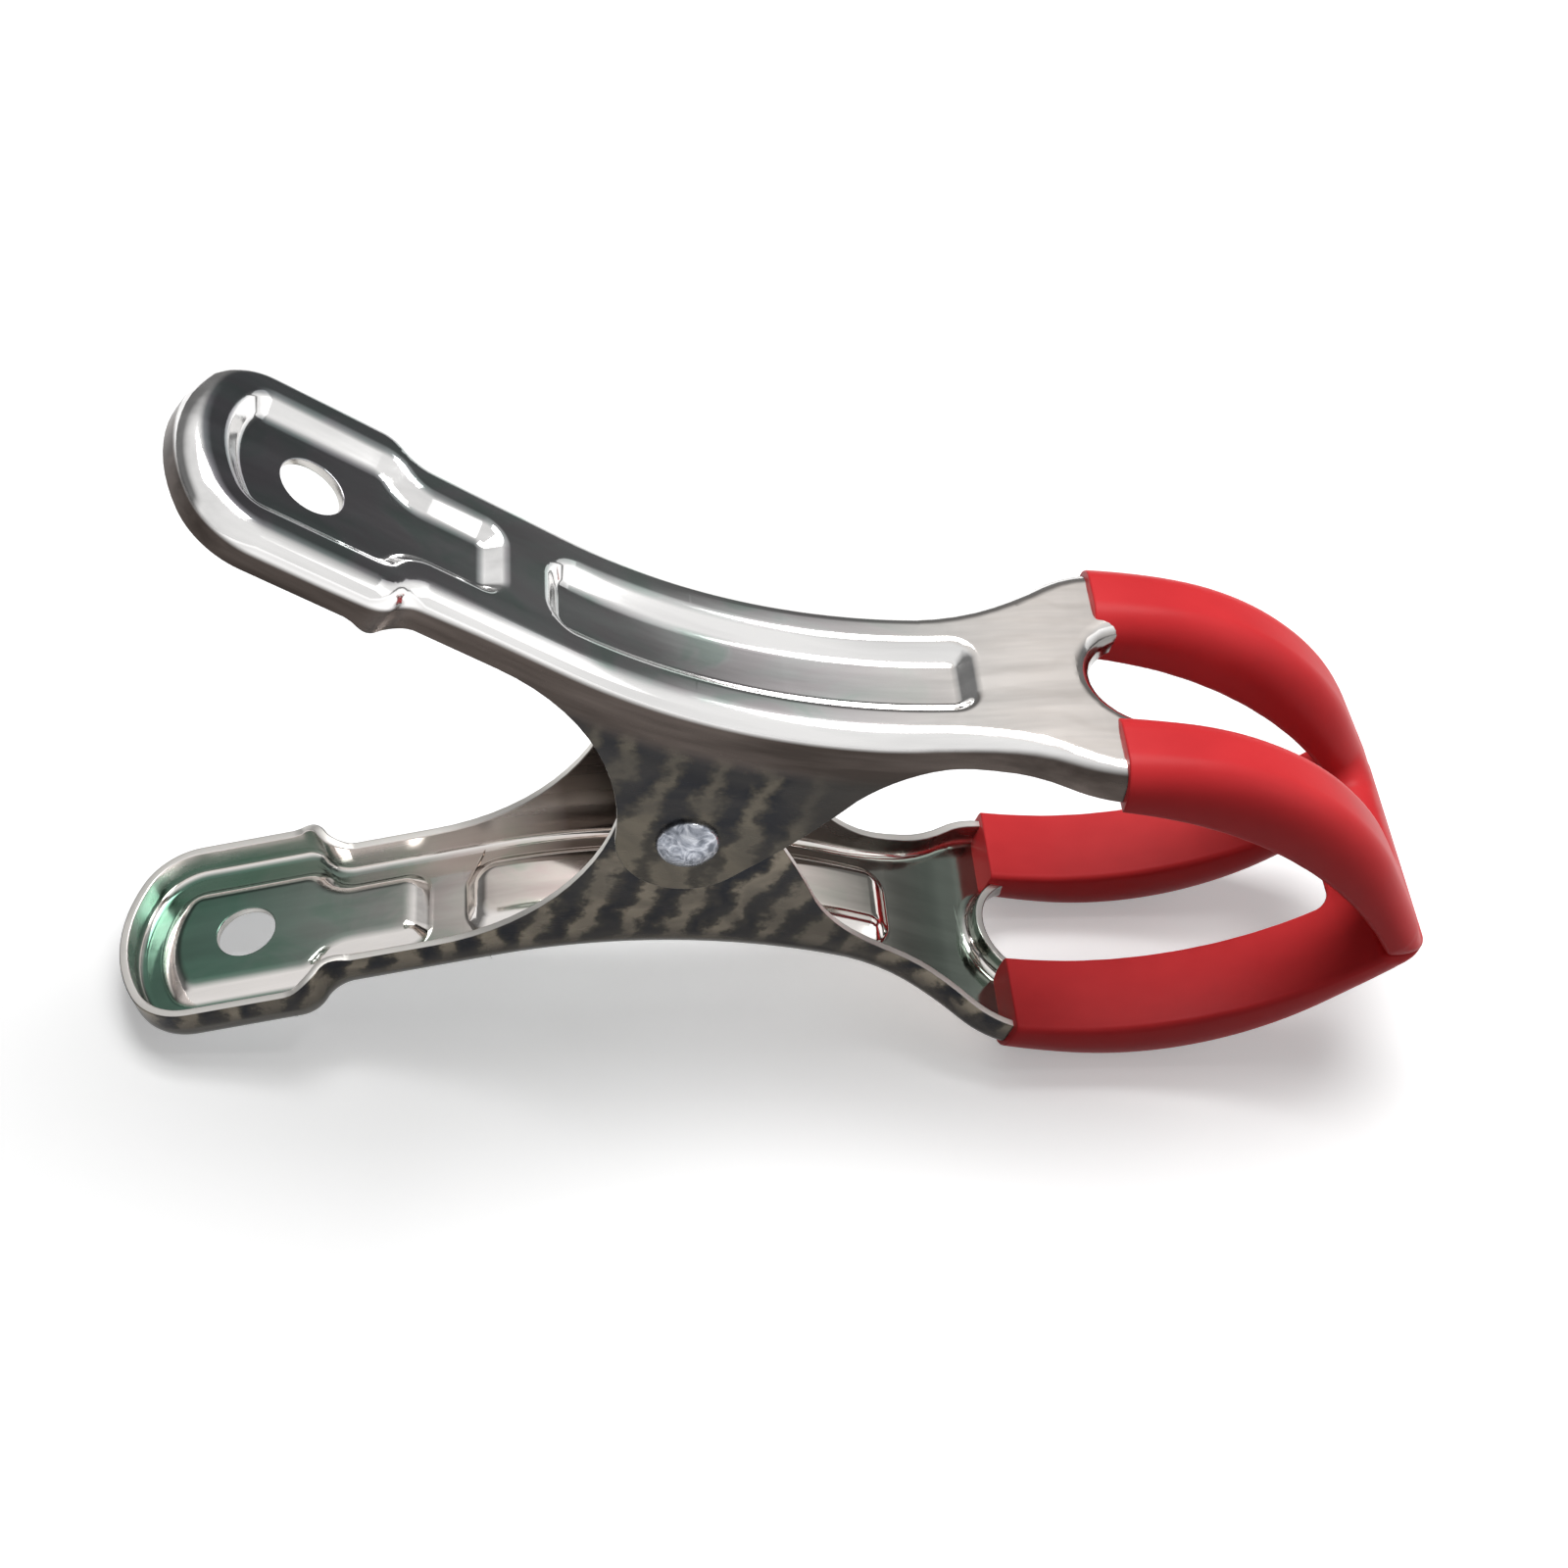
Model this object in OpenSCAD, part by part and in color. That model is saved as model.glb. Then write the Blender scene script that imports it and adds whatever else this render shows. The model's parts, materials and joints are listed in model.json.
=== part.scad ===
// Spring clamp: two pressed-sheet arms on one rivet, with plastic-dipped jaws
// and a torsion spring that holds them shut.
//
// Both arms are drawn the same way up, with the rivet's axis along Y through
// the origin, the jaws toward +X and the closing plane at z = 0. The lower arm
// is the upper one mirrored, with a narrower waist that nests between the
// upper arm's cheeks. At the end the clamp is laid on its lower arm.

/* [Sheet metal] */
// Thickness of the pressed sheet
sheet = 1.2; // [0.9:0.1:1.5]
// Depth of the flange turned in along every edge
flange_h = 5.5; // [4.8:0.1:6.5]
// How far the stiffening panels are sunk below the face
panel_sink = 2.1; // [1.2:0.1:2.4]

/* [Handles] */
// Angle between a handle and the closing plane
handle_tilt = 24; // [21:0.5:27]
// Straight length of a handle, from its end to the back bend
handle_len = 50.1; // [46:0.1:60]
// Half of the paddle's breadth
paddle_hw = 14.5; // [13.5:0.1:16]
// Length of the full-breadth paddle
paddle_len = 25.5; // [23:0.1:29]
// Length over which the paddle narrows to the waist
neck_len = 4.7; // [4:0.1:7]
// Radius of the paddle's two corners
corner_r = 9; // [7:0.5:11]
// Half of the angle through which the paddle's end is bowed
end_bow = 28; // [15:1:35]
// Radius of the hanging hole
hole_r = 4; // [2:0.1:5]
// Distance from the handle's end to the middle of the hanging hole
hole_in = 16.7; // [14:0.1:20]

/* [Panels] */
// Plain rim between the handle's edge and its panel
panel_rim = 6.1; // [5:0.1:7]
// Half of the breadth of the handle panel's narrow stem
stem_hw = 4.9; // [4:0.1:6]
// Distance from the handle panel's front to the back bend
stem_gap = 10.1; // [7:0.1:12]
// Half of the breadth of the waist panel
waist_panel_hw = 4.9; // [4:0.1:6]
// Distance from the rivet back to the waist panel's rear end
waist_panel_back = 21.3; // [18:0.1:23]
// Distance from the rivet forward to the waist panel's front end
waist_panel_front = 31; // [28:0.1:36]
// Radius of the panels' corners
panel_corner_r = 2; // [1:0.1:3]

/* [Waist] */
// Half of the outer arm's breadth at the waist
waist_hw = 11.6; // [11:0.1:12.5]
// Distance from the rivet forward to the lowest point of the arm's back
waist_x = 13.5; // [11:0.1:16]
// Height of the arm's outer face there, above the closing plane
waist_h = 21.4; // [20:0.1:22.5]
// Radius of the back bend between handle and waist
back_r = 81; // [75:1:90]
// Radius of the ear round the rivet
ear_r = 9; // [8:0.1:10]
// Angle of the ear's front edge to the closing plane
ear_angle = 53; // [48:1:58]
// Radius where the ear's front edge runs into the fork's flange
ear_front_r = 22; // [18:0.5:25]
// Radius where the ear's back edge runs into the handle's flange
ear_back_r = 32; // [28:0.5:36]

/* [Fork] */
// Half of the steel fork's breadth
fork_hw = 18.5; // [17:0.1:20]
// Distance from the rivet to where the waist begins to flare
flare_x = 26; // [24:0.1:28]
// Length of the flare
flare_len = 24; // [20:0.1:28]
// Share of the flare that opens out before it straightens again
flare_share = 0.65; // [0.5:0.05:0.75]
// Depth of the fork's flange
fork_flange_h = 4.7; // [4.2:0.1:5.5]
// Distance from the rivet to the highest point of the jaw's back
belly_x = 57.5; // [55:0.1:60]
// Height of the steel there, above the closing plane
belly_h = 27.5; // [26:0.1:29]
// Radius of the steel from there to the nose
belly_r = 39; // [37:0.5:42]
// Angle between the straight nose and the closing plane
nose_angle = 53; // [50:0.5:55]
// Radius of the flange's edge along the bite
bite_r = 57.5; // [50:0.5:70]
// Length of the steel's flat edge at the tip
bite_len = 3.8; // [3:0.1:5]
// Half of the breadth of the slot through the steel
slot_hw = 8; // [7:0.1:9]
// Distance from the rivet to the slot's round root
slot_x = 46.3; // [44:0.1:48]
// Depth of the lip turned in round the slot
lip_h = 4.2; // [3.5:0.1:4.6]
// Length of the steel that joins the two prongs at the tip
bar_len = 6.4; // [4:0.1:8]

/* [Dipped coating] */
// Thickness of the plastic over the steel
coat_t = 1; // [0.8:0.05:1.4]
// Distance from the rivet to the coating's edge
coat_x = 48; // [47:0.1:52]
// Radius of the coated tip's two corners
tip_r = 2.4; // [2:0.1:4]
// Gap between the closed jaws
jaw_gap = 0.3; // [0.2:0.05:1]

/* [Rivet] */
// Radius of the rivet's shank
rivet_r = 2.5; // [2:0.1:2.9]
// Radius of the domed head
head_r = 4; // [3.6:0.1:5]
// Height of the domed head
head_h = 2.2; // [1.5:0.1:3]
// Radius of the peened tail
tail_r = 3.8; // [3.5:0.1:5]
// Height of the peened tail
tail_h = 1.8; // [1.2:0.1:2.5]
// Clearance round the shank in each bore
pin_play = 0.05; // [0.02:0.01:0.1]
// Clearance between the nested cheeks, on each side
cheek_play = 0.15; // [0.1:0.05:0.4]

/* [Spring] */
// Radius of the spring's wire
wire_r = 1.1; // [0.8:0.05:1.2]
// Mean radius of the coil
coil_r = 4.4; // [4.3:0.1:4.8]
// Whole turns in the coil
coil_turns = 4; // [3:1:4]
// Advance of the coil in each turn
coil_pitch = 2.72; // [2.65:0.01:2.8]
// Distance from the rivet back to where the legs bear on the arms
leg_reach = 9.5; // [9:0.5:19]
// Clearance between a leg's end and the panel that it bears on
leg_gap = 0.1; // [0.05:0.05:0.3]

/* [Hidden] */
$fn = 64;
// Turn of each straight facet along a bend
arc_step = 4;
// Overlap where two stretches of one sheet are joined
lap = 1;
// How far a cutting tool stands out of what it cuts
reach = handle_len + belly_h;
// Rings in each turn of the spring, and sides of its wire
coil_rings = 8;
wire_sides = 6;

// The back bend's start, where the straight handle ends
bend = [waist_x - back_r * sin(handle_tilt), waist_h + back_r * (1 - cos(handle_tilt))];
// The handle's inward way along its face, and its outward normal
handle_way = [cos(handle_tilt), -sin(handle_tilt)];
handle_out = [sin(handle_tilt), cos(handle_tilt)];
// Length of waist-broad handle between the neck and the back bend
shank_len = handle_len - paddle_len - neck_len;
end_r = (paddle_hw - corner_r * (1 - sin(end_bow))) / sin(end_bow);
end_depth = end_r * (1 - cos(end_bow)) + corner_r * cos(end_bow);

inner_waist_hw = waist_hw - sheet - cheek_play;
waist_start = concat(bend - (shank_len + lap) * handle_way, [-handle_tilt]);
waist_back = waist_start[0] - flange_h;
flare_end = flare_x + flare_len;

// The back rises from waist to belly in two equal arcs
rise_turn = 2 * atan((belly_h - waist_h) / (belly_x - waist_x));
rise_r = (belly_x - waist_x) / (2 * sin(rise_turn));
rise_centre = [waist_x, waist_h + rise_r];

nose_way = [cos(nose_angle), -sin(nose_angle)];
nose_out = [sin(nose_angle), cos(nose_angle)];
nose_h = belly_h - belly_r * (1 - cos(nose_angle));
steel_bite_h = jaw_gap / 2 + coat_t;
nose_len = (nose_h - steel_bite_h) / sin(nose_angle);
coat_nose_len = (nose_h + coat_t * cos(nose_angle) - jaw_gap / 2) / sin(nose_angle);
nose_start = [belly_x + belly_r * sin(nose_angle), nose_h];
steel_tip = nose_start + nose_len * nose_way;
coat_tip = nose_start + coat_t * nose_out + coat_nose_len * nose_way;

// Where the coating starts on the steel's back, with the back's heading there
coat_heading = asin((belly_x - coat_x) / rise_r);
coat_start = [coat_x, belly_h - rise_r * (1 - cos(coat_heading)), coat_heading];

// The bite's arc runs from the flange's edge under coat_start to the tip's flat
bite_back = beside([coat_start], fork_flange_h)[0];
bite_front = [steel_tip[0] - bite_len, steel_bite_h];
bite_centre = centre_right_of(bite_back, bite_front, bite_r);

// Centre of the fillet behind the ear: it touches the handle's flange and the ear
back_off = bend * handle_out - flange_h - ear_back_r;
back_span = sqrt(pow(ear_back_r + ear_r, 2) - pow(back_off, 2));
back_fillet = back_off * handle_out - back_span * handle_way;

// Centre of the fillet before the ear: it touches the ear's front edge and the
// flange under the first arc of the rise
ear_out = [sin(ear_angle), -cos(ear_angle)];
ear_up = [cos(ear_angle), sin(ear_angle)];
front_base = (ear_r + ear_front_r) * ear_out - rise_centre;
front_half = front_base * ear_up;
front_rest = front_base * front_base - pow(rise_r + fork_flange_h + ear_front_r, 2);
front_up = -front_half - sqrt(pow(front_half, 2) - front_rest);
front_fillet = (ear_r + ear_front_r) * ear_out + front_up * ear_up;
front_heading = atan2(front_fillet[0] - rise_centre[0], rise_centre[1] - front_fillet[1]);

// The spring's leg ends just inside the back bend, under the waist panel
leg_depth = panel_sink + sheet + wire_r + leg_gap;
leg_heading = asin((waist_x + leg_reach) / back_r);
leg_end = [waist_x - (back_r + leg_depth) * sin(leg_heading),
           waist_h + back_r - (back_r + leg_depth) * cos(leg_heading)];
leave_angle = atan2(leg_end[1], leg_end[0]) - acos(coil_r / norm(leg_end));
coil_sweep = 360 * coil_turns + 2 * leave_angle;
coil_len = coil_pitch * coil_sweep / 360;

// The clamp lies on its lower handle's end and its lower jaw's belly
heel = [bend[0] - handle_len * handle_way[0], -bend[1] + handle_len * handle_way[1]];
belly_centre = [belly_x, belly_r - belly_h];
rest_span = belly_centre - heel;
rest_tilt = atan2(rest_span[1], rest_span[0]) - asin((belly_r + coat_t) / norm(rest_span));
heel_edge = heel + flange_h * [-handle_out[0], handle_out[1]];
rest_x = -(laid(heel_edge)[0] + laid(coat_tip)[0]) / 2;
rest_z = -laid(heel)[1];

// ---- Paths: each point is [x, y, heading], each leg [length, 0] or [radius, turn]

function arc_point(p, leg, t) =
    let (side = sign(leg[1]), turn = leg[1] * t)
    [p[0] + side * leg[0] * (sin(p[2] + turn) - sin(p[2])),
     p[1] - side * leg[0] * (cos(p[2] + turn) - cos(p[2])),
     p[2] + turn];

function after(p, leg) =
    leg[1] == 0 ? [p[0] + leg[0] * cos(p[2]), p[1] + leg[0] * sin(p[2]), p[2]]
                : arc_point(p, leg, 1);

function facets(turn) = max(1, ceil(abs(turn) / arc_step));

function walk(p, legs, i = 0) =
    i == len(legs) ? [p] :
    concat([for (k = [0:facets(legs[i][1]) - 1])
                legs[i][1] == 0 ? p : arc_point(p, legs[i], k / facets(legs[i][1]))],
           walk(after(p, legs[i]), legs, i + 1));

// The same path moved sideways, to the right of its heading
function beside(path, d) = [for (p = path) [p[0] + d * sin(p[2]), p[1] - d * cos(p[2])]];

function reversed(list) = [for (i = [len(list) - 1:-1:0]) list[i]];

// The closed strip between two parallels of a path
function strip(path, near, far) = concat(beside(path, near), reversed(beside(path, far)));

// A half outline closed by its mirror image below the X axis
function both_sides(half) =
    concat(half, [for (p = reversed(half)) if (p[1] > 0) [p[0], -p[1]]]);

function around(centre, r, from, to) =
    [for (k = [0:facets(to - from)])
        let (a = from + (to - from) * k / facets(to - from))
        centre + r * [cos(a), sin(a)]];

function centre_right_of(p, q, r) =
    let (way = (q - p) / norm(q - p))
    (p + q) / 2 + sqrt(pow(r, 2) - pow(norm(q - p) / 2, 2)) * [way[1], -way[0]];

function angle_of(v) = atan2(v[1], v[0]);

// Where a point of the side view lands when the clamp is laid down
function laid(p) = [p[0] * cos(rest_tilt) + p[1] * sin(rest_tilt),
                    -p[0] * sin(rest_tilt) + p[1] * cos(rest_tilt)];

// Two arcs that shift a path sideways by `shift` over `length`; the first one
// takes its share of the way
function sway(length, shift, share = 0.5) =
    let (turn = 2 * atan(shift / length), both_r = length / sin(abs(turn)))
    [[share * both_r, turn], [(1 - share) * both_r, -turn]];

// ---- Outlines

// The arm's outer face in side view, from the neck to the steel's tip
back_path = walk(waist_start, [
    [shank_len + lap, 0],
    [back_r, handle_tilt],
    [rise_r, rise_turn],
    [rise_r, -rise_turn],
    [belly_r, -nose_angle],
    [nose_len, 0]]);

// The face that the coating covers, as far as the coated tip
jaw_path = walk(coat_start, [
    [rise_r, -coat_heading],
    [belly_r, -nose_angle],
    [coat_nose_len, 0]]);

// The flange's free edge in side view, from the tip back to the neck
rise_at_front = concat(rise_centre + rise_r * [sin(front_heading), -cos(front_heading)],
                       [front_heading]);
fork_edge = beside(walk(rise_at_front, [
    [rise_r, rise_turn - front_heading],
    [rise_r, coat_heading - rise_turn]]), fork_flange_h);
free_edge = concat(
    around(bite_centre, bite_r, angle_of(bite_front - bite_centre),
           angle_of(bite_back - bite_centre)),
    reversed(fork_edge),
    around(front_fillet, ear_front_r, angle_of(rise_centre - front_fillet), 90 + ear_angle),
    around([0, 0], ear_r, ear_angle - 90, angle_of(back_fillet)),
    around(back_fillet, ear_back_r, angle_of(-back_fillet), 90 - handle_tilt),
    beside([waist_start], flange_h));

// The coated jaw in side view, one coating thickness larger all round
coat_bite_r = bite_r - coat_t;
coat_bite_rise = asin((jaw_gap / 2 - bite_centre[1]) / coat_bite_r);
coat_side = concat(
    beside(jaw_path, -coat_t),
    around(bite_centre, coat_bite_r, coat_bite_rise, angle_of(bite_back - bite_centre)));

// Plan of the handle in its own frame, where x = 0 is the back bend's start
function handle_plan(hw, inset) = both_sides(beside(walk([-handle_len, 0, 90], concat(
    [[end_r, -end_bow], [corner_r, end_bow - 90], [paddle_len - end_depth, 0]],
    sway(neck_len, hw - paddle_hw),
    [[lap, 0]])), inset));

// Plan of the handle's panel, which narrows where the handle does
function panel_plan(inset) = both_sides(beside(walk([panel_rim - handle_len, 0, 90], concat(
    [[end_r - panel_rim, -end_bow],
     [corner_r - panel_rim, end_bow - 90],
     [paddle_len - end_depth, 0]],
    sway(neck_len, stem_hw + panel_rim - paddle_hw),
    [[shank_len - stem_gap - panel_corner_r, 0],
     [panel_corner_r, -90],
     [stem_hw - panel_corner_r, 0]])), inset));

// Plan of the sunk panel along the waist
function waist_panel_plan(inset) = both_sides(beside(walk([-waist_panel_back, 0, 90], [
    [waist_panel_hw - panel_corner_r, 0],
    [panel_corner_r, -90],
    [waist_panel_front + waist_panel_back - panel_corner_r, 0]]), inset));

// Half of the plan from the waist to the end of the flare
function flare_legs(hw) = concat(
    [[flare_x - waist_back, 0]],
    sway(flare_len, fork_hw - hw, flare_share));

// Plan of waist and fork, with a round-cornered tip at x = front
function fork_plan(hw, inset, front, corner) = both_sides(beside(
    walk([waist_back, hw, 0], concat(
        flare_legs(hw),
        [[front - corner - flare_end, 0], [corner + inset, -90]])), inset));

// Plan of the hollow between the side flanges, open at the tip
function hollow_plan(hw) = both_sides(beside(
    walk([waist_back, hw, 0], concat(
        flare_legs(hw),
        [[steel_tip[0] + lap - flare_end, 0]])), sheet));

// The hollow in side view: everything under the sheet
hollow_side = concat(
    beside(back_path, sheet),
    [steel_tip - sheet * nose_out + reach * nose_way, [waist_back, -reach]],
    beside([waist_start], flange_h + lap));

// ---- Pieces of the arms

// Stands a side view up, along Y through the middle
module side_prism(points, hw)
    rotate([90, 0, 0])
        linear_extrude(2 * hw, center = true) polygon(points);

module plan_prism(points, low = -reach, high = reach)
    translate([0, 0, low]) linear_extrude(high - low) polygon(points);

// Puts children from the handle's own frame onto the arm
module on_handle()
    translate([bend[0], 0, bend[1]]) rotate([0, handle_tilt, 0]) children();

// The arm as if it were solid metal inside its own outline
module arm_block(hw) {
    on_handle() plan_prism(handle_plan(hw, 0), -flange_h, 0);
    intersection() {
        side_prism(concat([for (p = back_path) [p[0], p[1]]], free_edge), fork_hw + lap);
        plan_prism(fork_plan(hw, 0, steel_tip[0], tip_r - coat_t));
    }
}

// What is pressed out of the block from inside, apart from panels and lip
module arm_hollow(hw) {
    on_handle() plan_prism(handle_plan(hw, sheet), -flange_h - lap, -sheet);
    intersection() {
        side_prism(hollow_side, fork_hw + lap);
        plan_prism(hollow_plan(hw));
    }
}

// Both panels, from `grow` outside their plan down to `depth` below the face
module panels(grow, depth) {
    on_handle() plan_prism(panel_plan(-grow), -depth, lap);
    intersection() {
        side_prism(strip(back_path, -lap, depth), waist_panel_hw + grow + lap);
        plan_prism(both_ends(waist_panel_plan(-grow), grow));
    }
}

// The waist panel's front end is square, so it grows by moving its last points
function both_ends(plan, grow) =
    [for (p = plan) p[0] >= waist_panel_front ? [p[0] + grow, p[1]] : p];

// The slot between the prongs, from its round root to the tip bar
module slot(grow) {
    slot_end = steel_tip + (grow - bar_len) * nose_way;
    slot_root = slot_x + slot_hw;
    depth = 2 * (flange_h + coat_t);
    translate([slot_root, 0, -reach]) cylinder(h = 2 * reach, r = slot_hw + grow);
    side_prism([
        [slot_root, -depth],
        [slot_root, reach],
        slot_end + reach * nose_out,
        slot_end - depth * nose_out], slot_hw + grow);
}

// The sheet turned in round the slot
module slot_lip()
    intersection() {
        slot(sheet);
        side_prism(strip(back_path, -lap, lip_h), slot_hw + 2 * sheet);
    }

module arm(hw)
    difference() {
        arm_block(hw);
        difference() {
            arm_hollow(hw);
            panels(sheet, panel_sink + sheet);
            slot_lip();
        }
        panels(0, panel_sink);
        slot(0);
        on_handle() translate([hole_in - handle_len, 0, -flange_h])
            cylinder(h = flange_h + lap, r = hole_r);
        rotate([90, 0, 0]) cylinder(h = 2 * (hw + lap), r = rivet_r + pin_play, center = true);
    }

module jaw_coating(hw)
    difference() {
        intersection() {
            side_prism(coat_side, fork_hw + coat_t + lap);
            plan_prism(fork_plan(hw, -coat_t, coat_tip[0], tip_r));
        }
        slot(-coat_t);
        arm(hw);
    }

// ---- Rivet

// A spherical cap of radius r and height h, standing on z = 0
module dome(r, h) {
    ball_r = (r * r + h * h) / (2 * h);
    intersection() {
        translate([0, 0, h - ball_r]) sphere(ball_r);
        cylinder(h = h, r = r + lap);
    }
}

module rivet_body() {
    rotate([90, 0, 0]) cylinder(h = 2 * waist_hw, r = rivet_r, center = true);
    translate([0, -waist_hw, 0]) rotate([90, 0, 0]) dome(head_r, head_h);
    translate([0, waist_hw, 0]) rotate([-90, 0, 0]) dome(tail_r, tail_h);
}

// ---- Spring

coil_steps = round(coil_sweep * coil_rings / 360);

// The wire's middle line: lower leg, coil, upper leg
wire_line = concat(
    [[leg_end[0], -coil_len / 2, -leg_end[1]]],
    [for (i = [0:coil_steps])
        let (a = -leave_angle + coil_sweep * i / coil_steps)
        [coil_r * cos(a), coil_len * (i / coil_steps - 0.5), coil_r * sin(a)]],
    [[leg_end[0], coil_len / 2, leg_end[1]]]);

function unit(v) = v / norm(v);

function wire_ring(i) =
    let (last = len(wire_line) - 1,
         way = unit(wire_line[min(i + 1, last)] - wire_line[max(i - 1, 0)]),
         across = unit([0, 1, 0] - way[1] * way),
         up = cross(across, way))
    [for (k = [0:wire_sides - 1])
        wire_line[i] + wire_r * (cos(360 * k / wire_sides) * up
                                 + sin(360 * k / wire_sides) * across)];

// Least distance between stretches of wire that are half a turn apart or more
wire_gap = min([for (i = [1:coil_steps + 1]) for (j = [i + coil_rings / 2:1:coil_steps + 1])
    norm(wire_line[i] - wire_line[j])]) - 2 * wire_r;
echo(str("least gap between the spring's turns: ", wire_gap, " mm"));

module wire() {
    rings = [for (i = [0:len(wire_line) - 1]) wire_ring(i)];
    n = wire_sides;
    points = [for (ring = rings) for (p = ring) p];
    sides = [for (i = [0:len(rings) - 2]) for (k = [0:n - 1])
        let (a = i * n + k, b = i * n + (k + 1) % n)
        each [[a, b, a + n], [b, b + n, a + n]]];
    first_cap = [for (k = [1:n - 2]) [0, k + 1, k]];
    base = (len(rings) - 1) * n;
    last_cap = [for (k = [1:n - 2]) [base, base + k, base + k + 1]];
    polyhedron(points, concat(sides, first_cap, last_cap));
}

// ---- The sub-parts, laid on the ground

module laid_down() translate([rest_x, 0, rest_z]) rotate([0, rest_tilt, 0]) children();

module outer_arm() color("silver") laid_down() arm(waist_hw);

module inner_arm() color("gainsboro") laid_down() mirror([0, 0, 1]) arm(inner_waist_hw);

module outer_jaw_coating() color("firebrick") laid_down() jaw_coating(waist_hw);

module inner_jaw_coating()
    color("firebrick") laid_down() mirror([0, 0, 1]) jaw_coating(inner_waist_hw);

module rivet() color("lightslategray") laid_down() rivet_body();

module torsion_spring() color("dimgray") laid_down() wire();

outer_arm();
inner_arm();
outer_jaw_coating();
inner_jaw_coating();
rivet();
torsion_spring();
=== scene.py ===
# %% [markdown]
# # A spring clamp in pressed sheet, dipped plastic and spring wire
# The clamp is two arms pressed from bright-plated sheet, pinned together by one
# rivet. A torsion spring round the rivet holds the jaws shut, and both forked
# jaws are dipped in soft red plastic.
#
# The exact solids are loaded first as a fixed frame. Every piece below is then
# modelled in the same place and at the same size, with the rounded bends,
# sunk panels and soft edges that the solids leave out.

# %% Load the frame
import json
import math

import bmesh
import bpy
from mathutils import Matrix, Vector
from mathutils.geometry import intersect_point_line


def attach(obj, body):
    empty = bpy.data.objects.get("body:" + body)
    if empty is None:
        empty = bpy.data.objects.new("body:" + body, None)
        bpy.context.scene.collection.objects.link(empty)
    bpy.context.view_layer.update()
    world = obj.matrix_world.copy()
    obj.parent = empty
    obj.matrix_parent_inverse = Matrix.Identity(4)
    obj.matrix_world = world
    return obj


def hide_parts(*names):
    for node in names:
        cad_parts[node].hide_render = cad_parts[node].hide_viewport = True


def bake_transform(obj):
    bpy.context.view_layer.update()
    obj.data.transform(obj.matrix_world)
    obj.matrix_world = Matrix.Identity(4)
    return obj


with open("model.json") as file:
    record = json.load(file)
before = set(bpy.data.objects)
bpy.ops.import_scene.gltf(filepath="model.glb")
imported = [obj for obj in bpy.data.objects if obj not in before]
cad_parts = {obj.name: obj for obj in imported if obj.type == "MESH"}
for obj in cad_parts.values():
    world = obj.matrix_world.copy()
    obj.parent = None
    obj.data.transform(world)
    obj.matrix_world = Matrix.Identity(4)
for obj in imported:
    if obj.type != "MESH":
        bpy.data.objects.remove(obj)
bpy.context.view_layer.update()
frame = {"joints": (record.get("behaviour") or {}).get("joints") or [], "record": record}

# %% [markdown]
# ## Sizes
# Lengths here are in millimetres, because the drawings of such a clamp are, and
# each finished mesh is scaled to metres once. Angles are in degrees.
#
# Both arms are drawn in the clamp's own frame: the rivet's axis runs along Y
# through the origin, the jaws point to +X, and the jaws close on z = 0.

# %% Driving sizes of the clamp
MM = 0.001

SHEET = 1.2            # thickness of the pressed sheet
FLANGE = 5.5           # depth of the turned-down edge
BEND_R = {"outer": 3.0, "inner": 2.4}  # outer radius of the bend into that edge
NECK_DIP = 1.4         # extra depth of that edge at the neck, where the metal gathers
NECK_DIP_REACH = 4.5   # how far that dip runs each way
SINK = 2.1             # how far the panels are sunk

HANDLE_TILT = 24.0     # handle to closing plane
HANDLE_LEN = 50.1      # straight part, from the handle's end
PADDLE_HW = 14.5       # half breadths: paddle, waist, fork
WAIST_HW = {"outer": 11.6, "inner": 10.25}
FORK_HW = 18.5
PADDLE_LEN = 24.4
NECK_LEN = 7.0
CORNER_R = 9.0         # corners of the paddle's end
END_BOW = 28.0         # half the angle of the bowed edge between them
HOLE_R = 4.0           # hanging hole
HOLE_IN = 16.7         # its middle, from the handle's end

WAIST_X, WAIST_H = 13.5, 21.4  # lowest point of the back
BACK_R = 81.0          # hollow bend behind it
BELLY_X, BELLY_H = 57.5, 27.5  # highest point of the jaw
BELLY_R = 39.0         # round belly before it
NOSE_ANGLE = 53.0      # nose to closing plane
FLARE_X, FLARE_LEN = 26.0, 24.0    # where the arm widens to its fork
FLARE_SHARE = 0.65     # how much of that its first arc takes
FORK_FLANGE = 4.7      # depth of the turned-down edge at the fork
TIP_R = 4.2            # corners of the steel's tip

EAR_R = 9.0            # round of the ear about the rivet
EAR_ANGLE = 53.0       # slope of its straight front
EAR_FRONT_R = 22.0     # fillets before and behind it
EAR_BACK_R = 32.0

SLOT_X, SLOT_HW = 46.3, 8.0    # root of the slot, and its half breadth
SLOT_CORNER_R = 1.5    # corners of the slot's front end
LIP = 4.2              # depth of the slot's turned-down lip
LIP_R = 2.7            # outer radius of the bend into it
BAR_LEN = 6.4          # bar that closes the slot at the tip

COAT = 1.0             # plastic over the steel
COAT_X = 48.0          # where the plastic starts
JAW_GAP = 0.3          # between the plastics of both jaws
BITE_R, BITE_LEN = 57.5, 3.8   # hollow of the bite, and the flat before its tip

RIVET_R = 2.5
HEAD_R, HEAD_H = 4.0, 2.2      # its near end
TAIL_R, TAIL_H = 3.8, 1.8      # its far end
WIRE_R, COIL_R = 1.1, 4.4
COIL_TURNS, COIL_PITCH = 4, 2.72
LEG_REACH = 9.5        # where each leg bears on its handle, behind the rivet
LEG_GAP = 0.1          # between a leg and the sunk panel

TINY = 1e-3            # lengths below this count as nothing

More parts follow.
